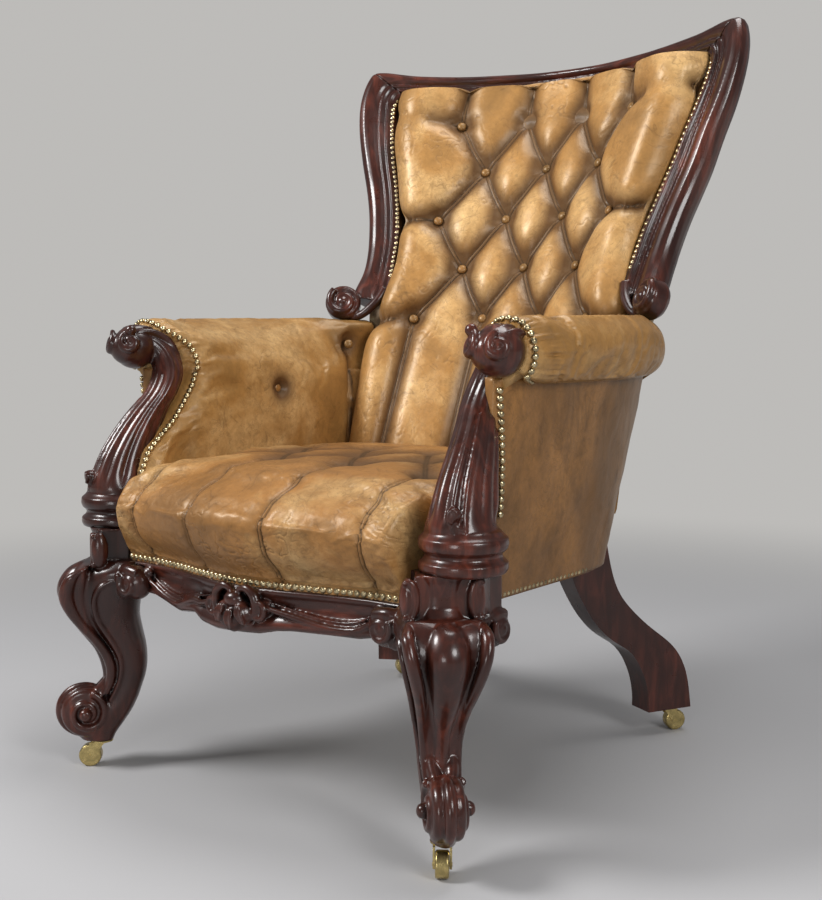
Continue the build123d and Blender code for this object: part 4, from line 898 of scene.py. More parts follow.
def foot_scroll(form, bead):
    """Small scroll where two reeds turn over above the collar."""
    face = Vector((0.50, -0.87, 0)).normalized()
    u = face.cross(Z_AXIS).normalized()
    centre = at(STEM_X + 14, COLLAR_Y - 40, 416)
    form.lobe(centre, u * 9 * MM, Z_AXIS * 9 * MM, face * 7 * MM)
    form.tube(spiral(centre + face * 5 * MM, u, Z_AXIS, 9, 2.5, 1.3, -pi / 2, 30), bead * 0.7, 8)
    for lean in (-4, 6):
        path = [centre - Z_AXIS * 8 * MM + u * lean * MM]
        spot = radians(-58 + lean * 2.0)
        for z, y, x, deep, wide in blended(SUPPORT_ROWS, 24)[1:14]:
            path.append(at(x + wide * cos(spot), y + deep * sin(spot), z))
        form.tube(path, swelling(bead * 1.2, 0.15, 0.75))


# Front rail: bow of its face, and the height of its lower edge by distance from the middle
RAIL_HALF = 254.0
RAIL_BOW = 32.0
RAIL_FACE_Y = 9.0
RAIL_TOP = 303.0
RAIL_REACH = 209.6
RAIL_EDGE = [
    (-262, 262), (-225, 262), (-186, 260), (-150, 251), (-129, 247), (-100, 251), (-87, 252), (-71, 243),
    (-40, 240), (0, 242), (34, 244), (60, 250), (82, 252), (128, 252), (172, 252), (205, 258), (225, 262),
    (262, 266),
]
# Moulded face below the nails: share down the face, how far it stands proud
RAIL_FACE = [
    (0.0, -3), (0.03, 1), (0.10, 2.5), (0.16, 1.0), (0.24, -1.5), (0.42, -3.5), (0.58, -1.0), (0.72, 4.5),
    (0.84, 7.5), (0.93, 6.5), (1.0, 0.5),
]
RAIL_THICK = 24
# Rebate behind the nails, as (height, how far its face stands back)
RAIL_REBATE = ((343, 5.5), (305, 5))
# Branch along one half of the rail and curled leaf beside its middle, as (x, share down the face)
RAIL_BRANCH = [(34, 0.35), (60, 0.50), (95, 0.66), (130, 0.80), (165, 0.80), (192, 0.62), (203, 0.40)]
RAIL_LEAF = [(5, 0.10), (20, 0.03), (33, 0.20), (34, 0.48), (27, 0.66)]
# Leaf lobes of the spray, as (x, share down the face, half width, half height)
SPRAY = ((-18, 0.56, 11, 16), (18, 0.56, 11, 16), (0, 0.68, 12, 18))


def rail_face_y(x):
    share = min(abs(x) / RAIL_REACH, 1.0)
    return RAIL_FACE_Y - RAIL_BOW * cos(share * pi / 2) ** 2


def rail_edge(x):
    return column(RAIL_EDGE, x, 1)


def on_rail(x, down, proud):
    """A point on the face of the front rail, by its share down from the nails."""
    low = rail_edge(x)
    return at(x, rail_face_y(x) - proud, RAIL_TOP + (low - RAIL_TOP) * down)


def front_rail_form(bead):
    form = Form()
    rings = []
    for step in range(121):
        x = RAIL_HALF * (step / 60 - 1)
        face = rail_face_y(x)
        ring = [on_rail(x, down, proud) for down, proud in blended(RAIL_FACE, 30)]
        ring += [at(x, face + RAIL_THICK, rail_edge(x) + 3), at(x, face + RAIL_THICK, RAIL_REBATE[0][0])]
        ring += [at(x, face + back, z) for z, back in RAIL_REBATE]
        rings.append(ring)
    form.skin(rings)
    for side in (-1, 1):
        near = blended([(side * x, down) for x, down in RAIL_BRANCH], 40)
        form.tube([on_rail(x, down, 5) for x, down in near], fuller(bead, 0.9, 0.5))
        second = [on_rail(x - side * 4, down - 0.16, 2) for x, down in near]
        form.tube(second[4:36], swelling(bead * 0.8, 0.1, 0.8))
        curl = on_rail(side * 205, 0.42, 4)
        form.tube(spiral(curl, Vector((-side, 0, 0)), Z_AXIS, 11, 3, 1.3, 0.4, 36), bead * 0.95)
        form.lobe(curl, SIDEWAYS * 9 * MM, Z_AXIS * 9 * MM, way(0, 9, 0))
        eye = on_rail(side * 40, 0.46, 9)
        form.tube(spiral(eye, Vector((side, 0, 0)), Z_AXIS, 15, 5, 1.25, pi, 40), bead * 1.15)
        form.lobe(eye + way(0, 8, 0), SIDEWAYS * 13 * MM, Z_AXIS * 12 * MM, way(0, 10, 0))
    spray(form, bead)
    return form


def spray(form, bead):
    """Three leaf lobes in the middle of the rail, between two curled leaves."""
    form.lobe(on_rail(0, 0.28, 8), SIDEWAYS * 15 * MM, Z_AXIS * 11 * MM, way(0, 12, 0), 14, 24)
    for x, down, wide, tall in SPRAY:
        heart = on_rail(x, down, 8)
        lean = Vector((-x * 0.02, 0, 1)).normalized()
        flat = lean.cross(Vector((0, 1, 0)))
        form.lobe(heart, flat * wide * MM, lean * tall * MM, way(0, 13, 0), 16, 26)
        for side in (-1, 1):
            vein = [
                heart + lean * tall * 0.7 * MM + way(side * 3, -9, 0),
                heart + way(side * 5, -12.5, 0),
                heart - lean * tall * 0.8 * MM + way(side * 2, -8, 0),
            ]
            form.tube(blended(vein, 16), bead * 0.7)
    for side in (-1, 1):
        leaf = [on_rail(side * x, down, 8) for x, down in RAIL_LEAF]
        form.tube(blended(leaf, 26), swelling(6.5, 0.10, 0.78, 0.7))


# Back frame: inner edge, then outer edge, up the stile, round its ear and along half of the crest
FRAME_ROWS = [
    (223, 556, 672, 284, 545, 672),
    (222, 561, 686, 290, 553, 686),
    (224, 575, 714, 289, 577, 719),
    (232, 602, 772, 292, 592, 751),
    (239, 614, 801, 300, 606, 790),
    (247, 625, 831, 310, 618, 825),
    (260, 638, 873, 323, 628, 865),
    (273, 647, 915, 337, 634, 912),
    (284, 658, 951, 350, 642, 955),
    (292, 669, 982, 357, 648, 986),
    (298, 680, 1013, 361, 655, 1016),
    (299, 684, 1026, 361, 664, 1043),
    (295, 689, 1035, 357, 674, 1067),
    (287, 694, 1038, 349, 683, 1082),
    (274, 699, 1038, 328, 692, 1083),
    (256, 705, 1036, 299, 704, 1078),
    (235, 712, 1035, 265, 718, 1073),
    (180, 733, 1034, 190, 745, 1067),
    (120, 758, 1034, 122, 771, 1066),
    (60, 775, 1034, 60, 788, 1065),
    (0, 780, 1034, 0, 793, 1065),
]
MITRE_ROW = 13
FRAME_COUNT = 200
# Section of the show frame: share across it, and how far it stands forward
STILE_FACE = [
    (0.00, -2), (0.015, 1), (0.10, 1.5), (0.13, 5), (0.17, 6.5), (0.21, 5), (0.235, 1.5), (0.27, 0.5),
    (0.31, 2), (0.345, 5), (0.375, 5.5), (0.40, 3.5), (0.43, 2.5), (0.50, 7.5), (0.62, 11.5), (0.74, 12),
    (0.86, 9), (0.95, 3), (1.0, -6),
]
STILE_BACK = [(1.0, -18), (0.95, -30), (0.80, -38), (0.45, -40), (0.10, -38), (0.0, -34)]
VOLUTE = (285.0, 518.0, 668.0)
VOLUTE_RADIUS = 30.0
VOLUTE_FACING = (-0.55, -0.77, 0.32)
# Its turning, as (how much less than its radius, height)
VOLUTE_DISC = [(8, -26), (1, -18), (0, 2), (5, 8), (12, 4)]
# Throat from the stile to the volute
THROAT = [(228, 563, 690), (236, 548, 668), (254, 534, 648), (278, 526, 638)]


def face_section(inner, outer):
    across = outer - inner
    return [inner + across * share + FORWARD * proud * MM for share, proud in STILE_FACE + STILE_BACK]


def frame_sections():
    rows = blended(FRAME_ROWS, FRAME_COUNT + 1)
    return [face_section(at(*row[:3]), at(*row[3:])) for row in rows]


def mitre_section():
    return MITRE_ROW * FRAME_COUNT // (len(FRAME_ROWS) - 1)


def back_stile_form(bead):
    form = Form()
    form.skin(frame_sections()[:mitre_section() + 1])
    eye = at(*VOLUTE)
    axis = Vector(VOLUTE_FACING).normalized()
    u = axis.cross(UPWARD).normalized()
    v = u.cross(axis)
    form.turned(eye, axis, [(VOLUTE_RADIUS - less, height) for less, height in VOLUTE_DISC])
    face = eye + axis * 8 * MM
    form.tube(spiral(face, u, v, VOLUTE_RADIUS - 5, 5, 1.8, 2.4, 80), thinning(bead, 2.0, 1.0), 14)
    form.lobe(face, u * 8 * MM, v * 8 * MM, axis * 7 * MM)
    throat = blended([at(*place) for place in THROAT], 24)
    form.tube([Vector(p) + FORWARD * 2 * MM for p in throat], thinning(1, 9, 3))
    return form


def crest_rail_form():
    form = Form()
    left = frame_sections()[mitre_section():]
    right = [[Vector((-p.x, p.y, p.z)) for p in ring] for ring in left[:-1]]
    return form.skin(left + right[::-1])


def mirror_twin(made, name):
    """Copy of a piece turned over to the other side of the chair."""
    mesh = made.data.copy()
    mesh.name = name
    mesh.transform(Matrix.Scale(-1, 4, SIDEWAYS))
    mesh.flip_normals()
    other = bpy.data.objects.new(name, mesh)
    bpy.context.scene.collection.objects.link(other)
    return other


# Back pad: height, half width, and y of its edge, its middle and its rear
PAD_ROWS = [
    (402, 243, 476, 487, 533),
    (498, 243, 500, 524, 570),
    (600, 240, 525, 566.5, 612.5),
    (689, 226, 561, 603.6, 649.6),
    (743, 224, 589, 627.5, 673.5),
    (801, 237, 614, 650, 696),
    (874, 258, 638, 681, 727),
    (951, 282, 658, 713, 750),
    (1013, 294, 680, 739, 764),
    (1040, 292.5, 692, 748, 769),
]
PAD_ARC = 150.0
HOLLOW = 293.0
BUTTON_TOP = 973.0
BUTTON_ROW = 83.0
BUTTON_PITCH = 108.0
BUTTON_Y = 603.0
BUTTON_LOW = 640.0
BUTTON_ROWS = 5
BUTTON_RADIUS = 7.2
# Places of the tufts of even and of odd rows, in steps from the middle
TUFT_STEPS = ((-1.5, -0.5, 0.5, 1.5), (-1.0, 0.0, 1.0))
# Pleats: how far above its buttons one runs, how far its middle drops, and its reach up and down
PLEAT_LIFT = 9
PLEAT_DROP = 5
PLEAT_UP = 85
PLEAT_DOWN = 250
# Rise of the pleats that run out to the frame, from the top button row to the lowest
PLEAT_RISE = (16, 4, -12)
# Rear of the pad: how far behind the edge it starts, and the depth that its front face loses
PAD_TURN = 14
PAD_SINK = 4


def hollow_drop(x):
    return HOLLOW - sqrt(HOLLOW ** 2 - x ** 2)


def pad_front_y(x, half, edge_y, centre_y):
    reach = abs(x)
    if reach <= PAD_ARC:
        return centre_y - hollow_drop(reach)
    span = half - PAD_ARC
    t = (reach - PAD_ARC) / span
    start = centre_y - hollow_drop(PAD_ARC)
    slope = -PAD_ARC / sqrt(HOLLOW ** 2 - PAD_ARC ** 2) * span
    turn = 1.5 * span
    bend = 2 * t ** 3 - 3 * t ** 2
    return start * (bend + 1) - edge_y * bend + slope * (t ** 3 - 2 * t ** 2 + t) + turn * (t ** 3 - t ** 2)


def back_pad_form(across, up):
    rings = []
    for z, half, edge_y, centre_y, rear_y in blended(PAD_ROWS, up):
        ring = []
        for step in range(across + 1):
            x = half * (2 * step / across - 1)
            y = pad_front_y(x, half, edge_y, centre_y) - PAD_SINK * (1 - (x / half) ** 4)
            ring.append(at(x, y, z))
        for step in range(13):
            share = 1 - step / 6
            y = edge_y + PAD_TURN + (rear_y - edge_y - PAD_TURN) * (1 - share ** 2)
            ring.append(at(half * share, y, z))
        rings.append(ring)
    return Form().skin(rings)


def tuft_frame(x, z):
    """Place of a button of the back and the way that it faces."""
    y = BUTTON_Y + (z - BUTTON_LOW) * tan(RAKE) - hollow_drop(x)
    flat = sqrt(HOLLOW ** 2 - x ** 2) / HOLLOW
    return at(x, y, z), Vector((-x / HOLLOW * cos(RAKE), -flat * cos(RAKE), sin(RAKE)))


def back_tufts():
    """Buttons of the back, as (row, x, height)."""
    places = []
    for row in range(BUTTON_ROWS):
        z = BUTTON_TOP - row * BUTTON_ROW
        places += [(row, BUTTON_PITCH * step, z) for step in TUFT_STEPS[row % 2]]
    return places


def back_pleats():
    """Pleats from button to button, out to the frame, up to the crest and down to the seat."""
    lines = []
    for row, x, z in back_tufts():
        start, normal = tuft_frame(x, z)
        lift = normal * PLEAT_LIFT * MM
        for side in (-1, 1):
            next_x = x + side * BUTTON_PITCH / 2
            if row < BUTTON_ROWS - 1 and abs(next_x) <= BUTTON_PITCH * TUFT_STEPS[0][-1]:
                end, end_normal = tuft_frame(next_x, z - BUTTON_ROW)
                middle = (start + end) / 2 - UPWARD * PLEAT_DROP * MM + lift
                line = blended([start + lift, middle, end + end_normal * PLEAT_LIFT * MM], 5)
                lines.append([Vector(p) for p in line])
        if row % 2 == 0 and abs(x) > BUTTON_PITCH:
            side = 1 if x > 0 else -1
            rise = PLEAT_RISE[row // 2]
            middle = start + way(side * 45, -22, rise * 0.4)
            lines.append([start + lift, middle, start + way(side * 108, -12, rise)])
        if row == 0:
            lines.append([start + lift, start + UPWARD * PLEAT_UP * MM])
        if row == BUTTON_ROWS - 1:
            lines.append([start + lift, start - UPWARD * PLEAT_DOWN * MM + lift])
    return lines


# Arm: x and z round its section, from the foot of its inner wall over the roll to that of its outer wall
ARM_SECTION = [
    (246, 352), (245, 376), (245, 400), (244, 425), (244, 450), (244, 475), (244, 500), (244.5, 523),
    (246, 545), (248.5, 562), (252, 578), (258, 594), (266, 608), (276, 620), (288, 630), (302, 637),
    (317, 639), (331, 636), (342, 629), (351, 618), (356, 604), (357, 592), (355, 580), (350, 570),
    (342, 562), (332, 558), (322, 556), (309, 555.5), (298, 555), (293, 545), (292, 500), (292, 450),
    (292, 400), (292, 352),
]
# Front edge of the arm leather on its support, as height and y
ARM_EDGE = [
    (352, 30), (400, 32), (422, 38), (449, 51), (470, 74), (490, 98), (516, 119), (540, 137), (562, 147),
    (583, 147), (601, 140), (615, 124), (625, 110), (640, 96),
]
# Bend of the arm: share along it, shift of the roll, shift of the outer wall
ARM_LINE = [
    (0.0, 0, 0), (0.22, 6, 2), (0.42, 9, 2), (0.56, 7, -6), (0.68, -2, -18), (0.80, -18, -36),
    (0.92, -40, -55), (1.0, -55, -66),
]
# Rings of the arm: close behind its front edge, as distances from it, and then evenly spaced
ARM_STEPS = [0, 1.5, 4, 7.5, 12, 17.5, 24, 31, 39]
ARM_COUNT = 84
# Points round its section, and the first and last of them with a nail
ARM_RING = 170
ARM_NAILS = (11, 136)
# Rings that carry the nails and that give the way they face
NAIL_RING = 3
FACING_RING = 5
ARM_ROUND = 36.0
ARM_CORE = (315.0, 596.0)
ARM_INNER = 246
ARM_BUTTON = (246.0, 316.0, 531.0)
# Button in the rear corner of the arm and the way that it faces, and the fold below it
CORNER_BUTTON = (250, 490, 598)
CORNER_FACING = (0.75, -0.62, 0.2)
CORNER_FOLD = ((248, 490, 600), (248, 484, 440))
# Rear end of the arm, and how far its top reaches past its foot
ARM_REAR = 512
ARM_REAR_REACH = 34
# Underside of the roll, and the outer side of its front edge: where it starts, its y and its width
ROLL_LOW = 556
ROLL_SIDE = 322
ROLL_SIDE_Y = 100
ROLL_SIDE_WIDE = 22
# Share by which the front edge of the roll and of the inner wall is drawn in
ROLL_PULL = 0.34
WALL_PULL = 0.8
# Puckers round the roll, as (count, size, phase), and up the wall, as (length, size, phase)
ROLL_PUCKERS = ((17, 1.0, 0.0), (29, 0.8, 1.0), (41, 0.6, 2.2))
WALL_PUCKERS = ((2.9, 1.0, 0.0), (4.7, 0.7, 1.0))
# Their height, and how fast they die out behind the nails
ROLL_PUCKER = (1.25, 19)
WALL_PUCKER = (0.45, 11)


def arm_front(x, z):
    """Front edge of the leather at one point of the section."""
    front = column(ARM_EDGE, z, 1)
    if x > ROLL_SIDE and z > ROLL_LOW:
        front = ROLL_SIDE_Y + (front - ROLL_SIDE_Y) * max(0.0, 1 - (x - ROLL_SIDE) / ROLL_SIDE_WIDE)
    return front


def arm_point(x, y, z, front, share):
    """A point of the arm, drawn in at its front edge and bent with the roll or the outer wall."""
    near = max(0.0, 1 - (y - front) / ARM_ROUND)
    pull = 1 - sqrt(max(0.0, 1 - near ** 2))
    px = x
    pz = z
    if z > 560 or x > 300:
        px += (ARM_CORE[0] - x) * pull * ROLL_PULL
        pz += (ARM_CORE[1] - z) * pull * ROLL_PULL
    else:
        px += (288 - x) * pull * WALL_PULL
    shift = column(ARM_LINE, share, 1 if z > ROLL_LOW or x < 290 else 2)
    return at(px + shift * eased((x - ARM_INNER) / 50), y, pz)


def arm_form():
    section = blended(ARM_SECTION, ARM_RING)
    rings = []
    for j in range(len(ARM_STEPS) + ARM_COUNT):
        ring = []
        for x, z in section:
            front = arm_front(x, z)
            rear = ARM_REAR + ARM_REAR_REACH * eased((z - 500) / 60)
            if j < len(ARM_STEPS):
                y = front + ARM_STEPS[j]
            else:
                step = j - len(ARM_STEPS) + 1
                y = front + ARM_STEPS[-1] + (rear - front - ARM_STEPS[-1]) * step / ARM_COUNT
            ring.append(arm_point(x, y, z, front, (y - front) / (rear - front)))
        rings.append(ring)
    return Form().skin(rings)


def gathered(made):
    """Small puckers that run back from the nails of the arm leather."""
    points = mesh_points(made)
    x, y, z = placed(made)
    edge = np.array(ARM_EDGE, float)
    back = y - np.interp(z, edge[:, 0], edge[:, 1])
    turn = np.arctan2(z - 596, x - 316)
    roll = sum(size * np.sin(count * turn + phase) for count, size, phase in ROLL_PUCKERS)
    wall = sum(size * np.sin(z / length + phase) for length, size, phase in WALL_PUCKERS)
    share = np.clip((z - 560) / 20, 0, 1)
    size = ROLL_PUCKER[0] * share * roll * np.exp(-np.abs(back) / ROLL_PUCKER[1])
    size += WALL_PUCKER[0] * (1 - share) * wall * np.exp(-np.abs(back) / WALL_PUCKER[1])
    size *= (y < 260) & (z > 380)
    set_points(made, points + mesh_normals(made) * (size * MM)[:, None])
    return made


# Seat: how far its face stands behind the front rail's line, and its height, from the nails to the rear
SEAT_PROFILE = [
    (1.4, 300), (1.4, 306), (1.0, 312), (-6, 317), (-20, 326), (-35, 343), (-43, 365), (-43, 386),
    (-34, 407), (-14, 424), (20, 435), (70, 441), (130, 445), (200, 446), (280, 445), (360, 442),
    (430, 437), (480, 430), (506, 415), (518, 395),
]
SEAT_HALF = 246.0
SEAT_REAR = 515
# Fall of the seat towards its sides, and at its outer corners
SEAT_FALL = 9
CORNER_FALL = 14
# Tufts of the seat: their pitch, its loss from row to row, the place of the first row and the next ones
SEAT_PITCH = 125
SEAT_CLOSER = 0.08
SEAT_FIRST = 118
SEAT_ROW = 98
SEAT_TUFTS = [(step * SEAT_PITCH * (1 - row * SEAT_CLOSER), SEAT_FIRST + row * SEAT_ROW)
              for row in range(3) for step in TUFT_STEPS[row % 2]]
# Spread of the pleats of the front roll, as a share of x at a distance from their tuft
PLEAT_SPREAD = 0.06
PLEAT_LENGTH = 150


def seat_line(x, count):
    """Top of the seat along one line from the nails to the rear, as (y, z)."""
    share = abs(x) / SEAT_HALF
    full = sqrt(max(0.0, 1 - share ** 12))
    front = rail_face_y(x)
    points = []
    for dy, z in blended(SEAT_PROFILE, count):
        y = front + (dy * full if dy < 0 else dy * (SEAT_REAR - front) / SEAT_REAR)
        fall = SEAT_FALL * share ** 3 + CORNER_FALL * (1 - full)
        points.append((y, z - fall * eased((z - 330) / 80)))
    return points


def seat_pad_form(across, along):
    rings = []
    for step in range(across + 1):
        x = SEAT_HALF * (2 * step / across - 1)
        line = seat_line(x, along)
        rear = line[-1][0]
        front = line[0][0]
        below = ((rear, 352), ((rear + front) / 2, 350), (front + 26, 348), (front + 4, 305))
        rings.append([at(x, y, z) for y, z in line + list(below)])
    return Form().skin(rings)


def seat_top(x, y):
    """Place on top of the seat."""
    line = np.array(seat_line(x, 200)[90:])
    return at(x, y, float(np.interp(y, line[:, 0], line[:, 1])))


def seat_pleats():
    """Pleats over the front roll, from the first tufts to the nails."""
    lines = []
    for x, y in SEAT_TUFTS[:4]:
        line = [(py, pz) for py, pz in seat_line(x, 60) if py <= y]
        lines.append([at(x * (1 + PLEAT_SPREAD * (y - py) / PLEAT_LENGTH), py, pz) for py, pz in line[::3]])
    return lines


def seat_creases():
    """Soft hollows between the tufts of the seat."""
    lines = []
    for x, y in SEAT_TUFTS:
        for tx, ty in SEAT_TUFTS:
            if 60 < ty - y < 120 and abs(tx - x) < 90:
                lines.append([seat_top(x, y), seat_top((x + tx) / 2, (y + ty) / 2), seat_top(tx, ty)])
    return lines


# Plan of the outside leather of one arm along its foot and along its top
PANEL_LOW = [
    (288, 84), (300, 90), (297, 118), (296.5, 200), (296.5, 264), (296, 328), (291, 365), (284, 400),
    (271, 428), (254, 452), (234, 472), (206, 495),
]
PANEL_HIGH = [
    (290, 96), (307, 93), (318, 118), (327, 200), (329, 264), (329, 328), (326, 372), (320, 415),
    (309, 457), (296, 494), (270, 540), (238, 588),
]
PANEL_FOOT = 297.0
PANEL_HEAD = 566.0
PANEL_THICK = 3
PANEL_SWELL = 2.5
# Heights of the foot and the head of the back cover
BACK_FOOT = 297.0
BACK_HEAD = 1028.0
# Half width, y of the edge and bow of the back cover: at its foot, and what each gains up to its head
COVER_HALF = (204, 88)
COVER_EDGE = (498, 252)
COVER_BOW = (53, 14)
# Returns at its sides: their gap to the edge of the pad, how far behind it they end, and their reach
RETURN_GAP = 2
RETURN_BACK = 16
RETURN_REACH = 22


def ruffled(place, scale, seed):
    """Gentle unevenness of stretched hide, from minus one to one."""
    return noise.noise((place / MM + Vector((seed, seed * 2, 0))) / scale)


def panel_form():
    """Stretched hide of an arm, between a line below and a line above."""
    rows = 54
    bottom = blended(PANEL_LOW, 90)
    top = blended(PANEL_HIGH, 90)
    last = len(top) - 1
    rings = []
    for j in range(rows + 1):
        share = j / rows
        line = [Vector((*(a + (b - a) * share), 0)) for a, b in zip(bottom, top)]
        z = PANEL_FOOT + (PANEL_HEAD - PANEL_FOOT) * share
        outer = []
        inner = []
        for i, spot in enumerate(line):
            run = (line[min(i + 1, last)] - line[max(i - 1, 0)]).normalized()
            out = Vector((run.y, -run.x, 0))
            place = at(spot.x, spot.y, z)
            rise = PANEL_SWELL * sin(pi * share) * sin(pi * i / last) ** 0.5
            rise += (1.6 * ruffled(place, 60, 7) + 0.6 * ruffled(place, 18, 7)) * eased(share / 0.1)
            outer.append(place + out * rise * MM)
            inner.append(place - out * PANEL_THICK * MM)
        rings.append(outer + inner[::-1])
    return Form().skin(rings)


def back_cover_form():
    """Hide over the back, bowed, and turned forward at each side to the edge of the buttoned pad."""
    rings = []
    for z in np.linspace(BACK_FOOT, BACK_HEAD, 56):
        share = (z - BACK_FOOT) / (BACK_HEAD - BACK_FOOT)
        half, edge, bow = (foot + gain * share for foot, gain in (COVER_HALF, COVER_EDGE, COVER_BOW))
        reach = min(column(PAD_ROWS, z, 1) - RETURN_GAP, half + RETURN_REACH)
        side_y = column(PAD_ROWS, z, 2) + RETURN_BACK
        line = [(half * s, edge + bow * (1 - s * s)) for s in np.linspace(1, -1, 31)]
        line = [(reach, side_y)] + line + [(-reach, side_y)]
        outer = [at(x, y + ruffled(at(x, y, z), 70, 21), z) for x, y in line]
        inner = [at(x * 0.985, y - 3, z) for x, y in line]
        rings.append(outer + inner[::-1])
    return Form().skin(rings)


# Hide of an arm that is nailed down: in front of, behind and below these, and its outer wall, from x up to z
ARM_HELD = (60, 496, 380)
WALL_HELD = (285, 560)
# Its front edge: how far above and below each height of the edge, and how far behind it
EDGE_HELD = (14, 11)
# Hide of the seat that is held: below and behind these, this near to its sides, and underneath, as (z, y)
SEAT_HELD = (316, 470, 6)
UNDER_HELD = (400, 60)
CLOTH_STEPS = 16
CLOTH_PRESSURE = 2.5


def settled(made, held, cap):
    """Lets the hide settle over its stuffing as cloth, and holds it near its form."""
    rest = mesh_points(made)
    group = made.vertex_groups.new(name="Nailed")
    group.add([int(i) for i in np.nonzero(held)[0]], 1.0, "REPLACE")
    cloth = made.modifiers.new("Cloth", "CLOTH")
    ways = cloth.settings
    ways.quality = 4
    ways.mass = 0.4
    ways.tension_stiffness = 30
    ways.compression_stiffness = 30
    ways.shear_stiffness = 12
    ways.bending_stiffness = 1.2
    ways.use_pressure = True
    ways.uniform_pressure_force = CLOTH_PRESSURE
    ways.shrink_min = -0.035
    ways.vertex_group_mass = "Nailed"
    ways.effector_weights.gravity = 0.0
    cloth.point_cache.frame_start = 1
    cloth.point_cache.frame_end = CLOTH_STEPS
    scene = bpy.context.scene
    for step in range(1, CLOTH_STEPS + 1):
        scene.frame_set(step)
    applied(made)
    scene.frame_set(1)
    moved = (mesh_points(made) - rest) / MM
    size = np.linalg.norm(moved, axis=1)
    keep = cap * np.tanh(size / cap) / np.maximum(size, 1e-6)
    set_points(made, rest + moved * keep[:, None] * MM)
    made.vertex_groups.clear()
    return made


def refined(made, levels):
    finer = made.modifiers.new("Finer", "SUBSURF")
    finer.levels = levels
    finer.render_levels = levels
    return applied(made)


NAIL_RADIUS = 4.3
NAIL_DOME = 0.72
NAIL_STEP = 9.2
NAIL_PROUD = 2.2
# Heights of the points of the nail row down the outside leather, and the way that its nails face
PANEL_NAILS = range(404, 560, 7)
PANEL_FACING = Vector((0.86, -0.5, 0))
# Button, as (share of its radius, height)
BUTTON_PROFILE = (
    (0.80, -3), (1.0, 0), (1.04, 1.6), (0.96, 3.2), (0.74, 4.6), (0.42, 5.4), (0.12, 5.7),
)
BUTTON_GATHERS = 9


def nail_row(form, path):
    """Domed nails at an even step along a path of (place, way that they face)."""
    spare = 0.0
    for (place, face), (nearby, next_face) in zip(path, path[1:]):
        run = (nearby - place).length / MM
        while spare < run:
            share = spare / run
            spot = place.lerp(nearby, share)
            out = face.lerp(next_face, share).normalized()
            u = out.orthogonal().normalized() * NAIL_RADIUS * MM
            form.lobe(spot, u, out.cross(u), out * NAIL_RADIUS * NAIL_DOME * MM, 8, 14)
            spare += NAIL_STEP
        spare -= run


def arm_nail_form():
    """Nails up the inner edge of the arm leather, over the roll, and down the outside leather."""
    form = Form()
    skin = arm_form().points
    edge = skin[NAIL_RING * ARM_RING:(NAIL_RING + 1) * ARM_RING]
    behind = skin[FACING_RING * ARM_RING:(FACING_RING + 1) * ARM_RING]
    path = []
    for k in range(*ARM_NAILS):
        out = (edge[k + 1] - edge[k - 1]).cross(behind[k] - edge[k]).normalized()
        if out.y > 0:
            out = -out
        path.append((edge[k] + out * NAIL_PROUD * MM, out))
    nail_row(form, path)
    path = []
    for z in PANEL_NAILS:
        share = (z - PANEL_FOOT) / (PANEL_HEAD - PANEL_FOOT)
        swell = sin(pi * share)
        path.append((at(301.5 + 11 * share + 3.5 * swell, 94 + 9 * swell, z), PANEL_FACING))
    nail_row(form, path)
    return form


def leather_button(form, place, normal):
    """Domed button whose cover is gathered at its rim."""
    u = normal.orthogonal().normalized()
    v = normal.cross(u)
    rings = []
    for size, rise in BUTTON_PROFILE:
        ring = []
        for t in turns(48):
            gather = 1 + 0.035 * sin(BUTTON_GATHERS * t) * min(1.0, 6 * (1.05 - size) + 0.4)
            reach = BUTTON_RADIUS * size * gather * MM
            ring.append(place + (u * cos(t) + v * sin(t)) * reach + normal * rise * MM)
        rings.append(ring)
    form.skin(rings)


# Panel entries
def length(name, note, value):
    return FloatProperty(name=name, description=note, default=value, min=0.0, unit="LENGTH")


def tint(name, note, value):
    return FloatVectorProperty(name=name, description=note, default=value, min=0.0, max=1.0, subtype="COLOR")


class ArmchairSizes(bpy.types.PropertyGroup):
    bead: length("Carved bead", "Radius of the beads and scroll lines of the carving", 0.0032)
    carving: length("Carving detail", "Size of the finest detail kept in the carving", 0.0016)
    tuft: length("Tuft depth", "How far the buttons of the back are pulled in", 0.018)
    pleat: length("Pleat depth", "Depth of the grooves beside each pleat", 0.0020)
    seat_tuft: length("Seat tuft depth", "How far the hollows of the seat are pulled in", 0.009)
    slack: length("Hide slack", "How far the hide may settle from its stuffing", 0.007)


class ArmchairColours(bpy.types.PropertyGroup):
    mahogany: tint("Mahogany", "Polished wood of the frame", (0.068, 0.016, 0.009))
    beech: tint("Beech", "Wood of the hidden frame", (0.55, 0.38, 0.22))
    # This colour also paints the shade in the hollows, grooves and wrinkles of the hide.
    patina_and_shade: tint("Patina", "Dark wax in the folds of the hide", (0.080, 0.034, 0.012))
    back_leather: tint("Back leather", "Hide of the buttoned back", (0.43, 0.225, 0.072))
    arm_leather: tint("Arm leather", "Hide of the arms", (0.33, 0.170, 0.050))
    seat_leather: tint("Seat leather", "Hide of the seat", (0.33, 0.155, 0.046))
    outside_leather: tint("Outside leather", "Hide of the outer sides and the back", (0.165, 0.078, 0.026))
    worn_leather: tint("Worn leather", "Hide where it is rubbed pale", (0.72, 0.47, 0.21))
    nail_brass: tint("Nail brass", "Domed nails", (0.60, 0.49, 0.29))
    castor_brass: tint("Castor brass", "Castors and their plates", (0.60, 0.47, 0.20))
    hessian: tint("Hessian", "Undyed cloth and webbing", (0.42, 0.33, 0.20))
    wall: tint("Backdrop", "Plain wall behind the chair", (0.51, 0.50, 0.485))
    floor: tint("Floor", "Plain floor under the chair", (0.42, 0.415, 0.42))


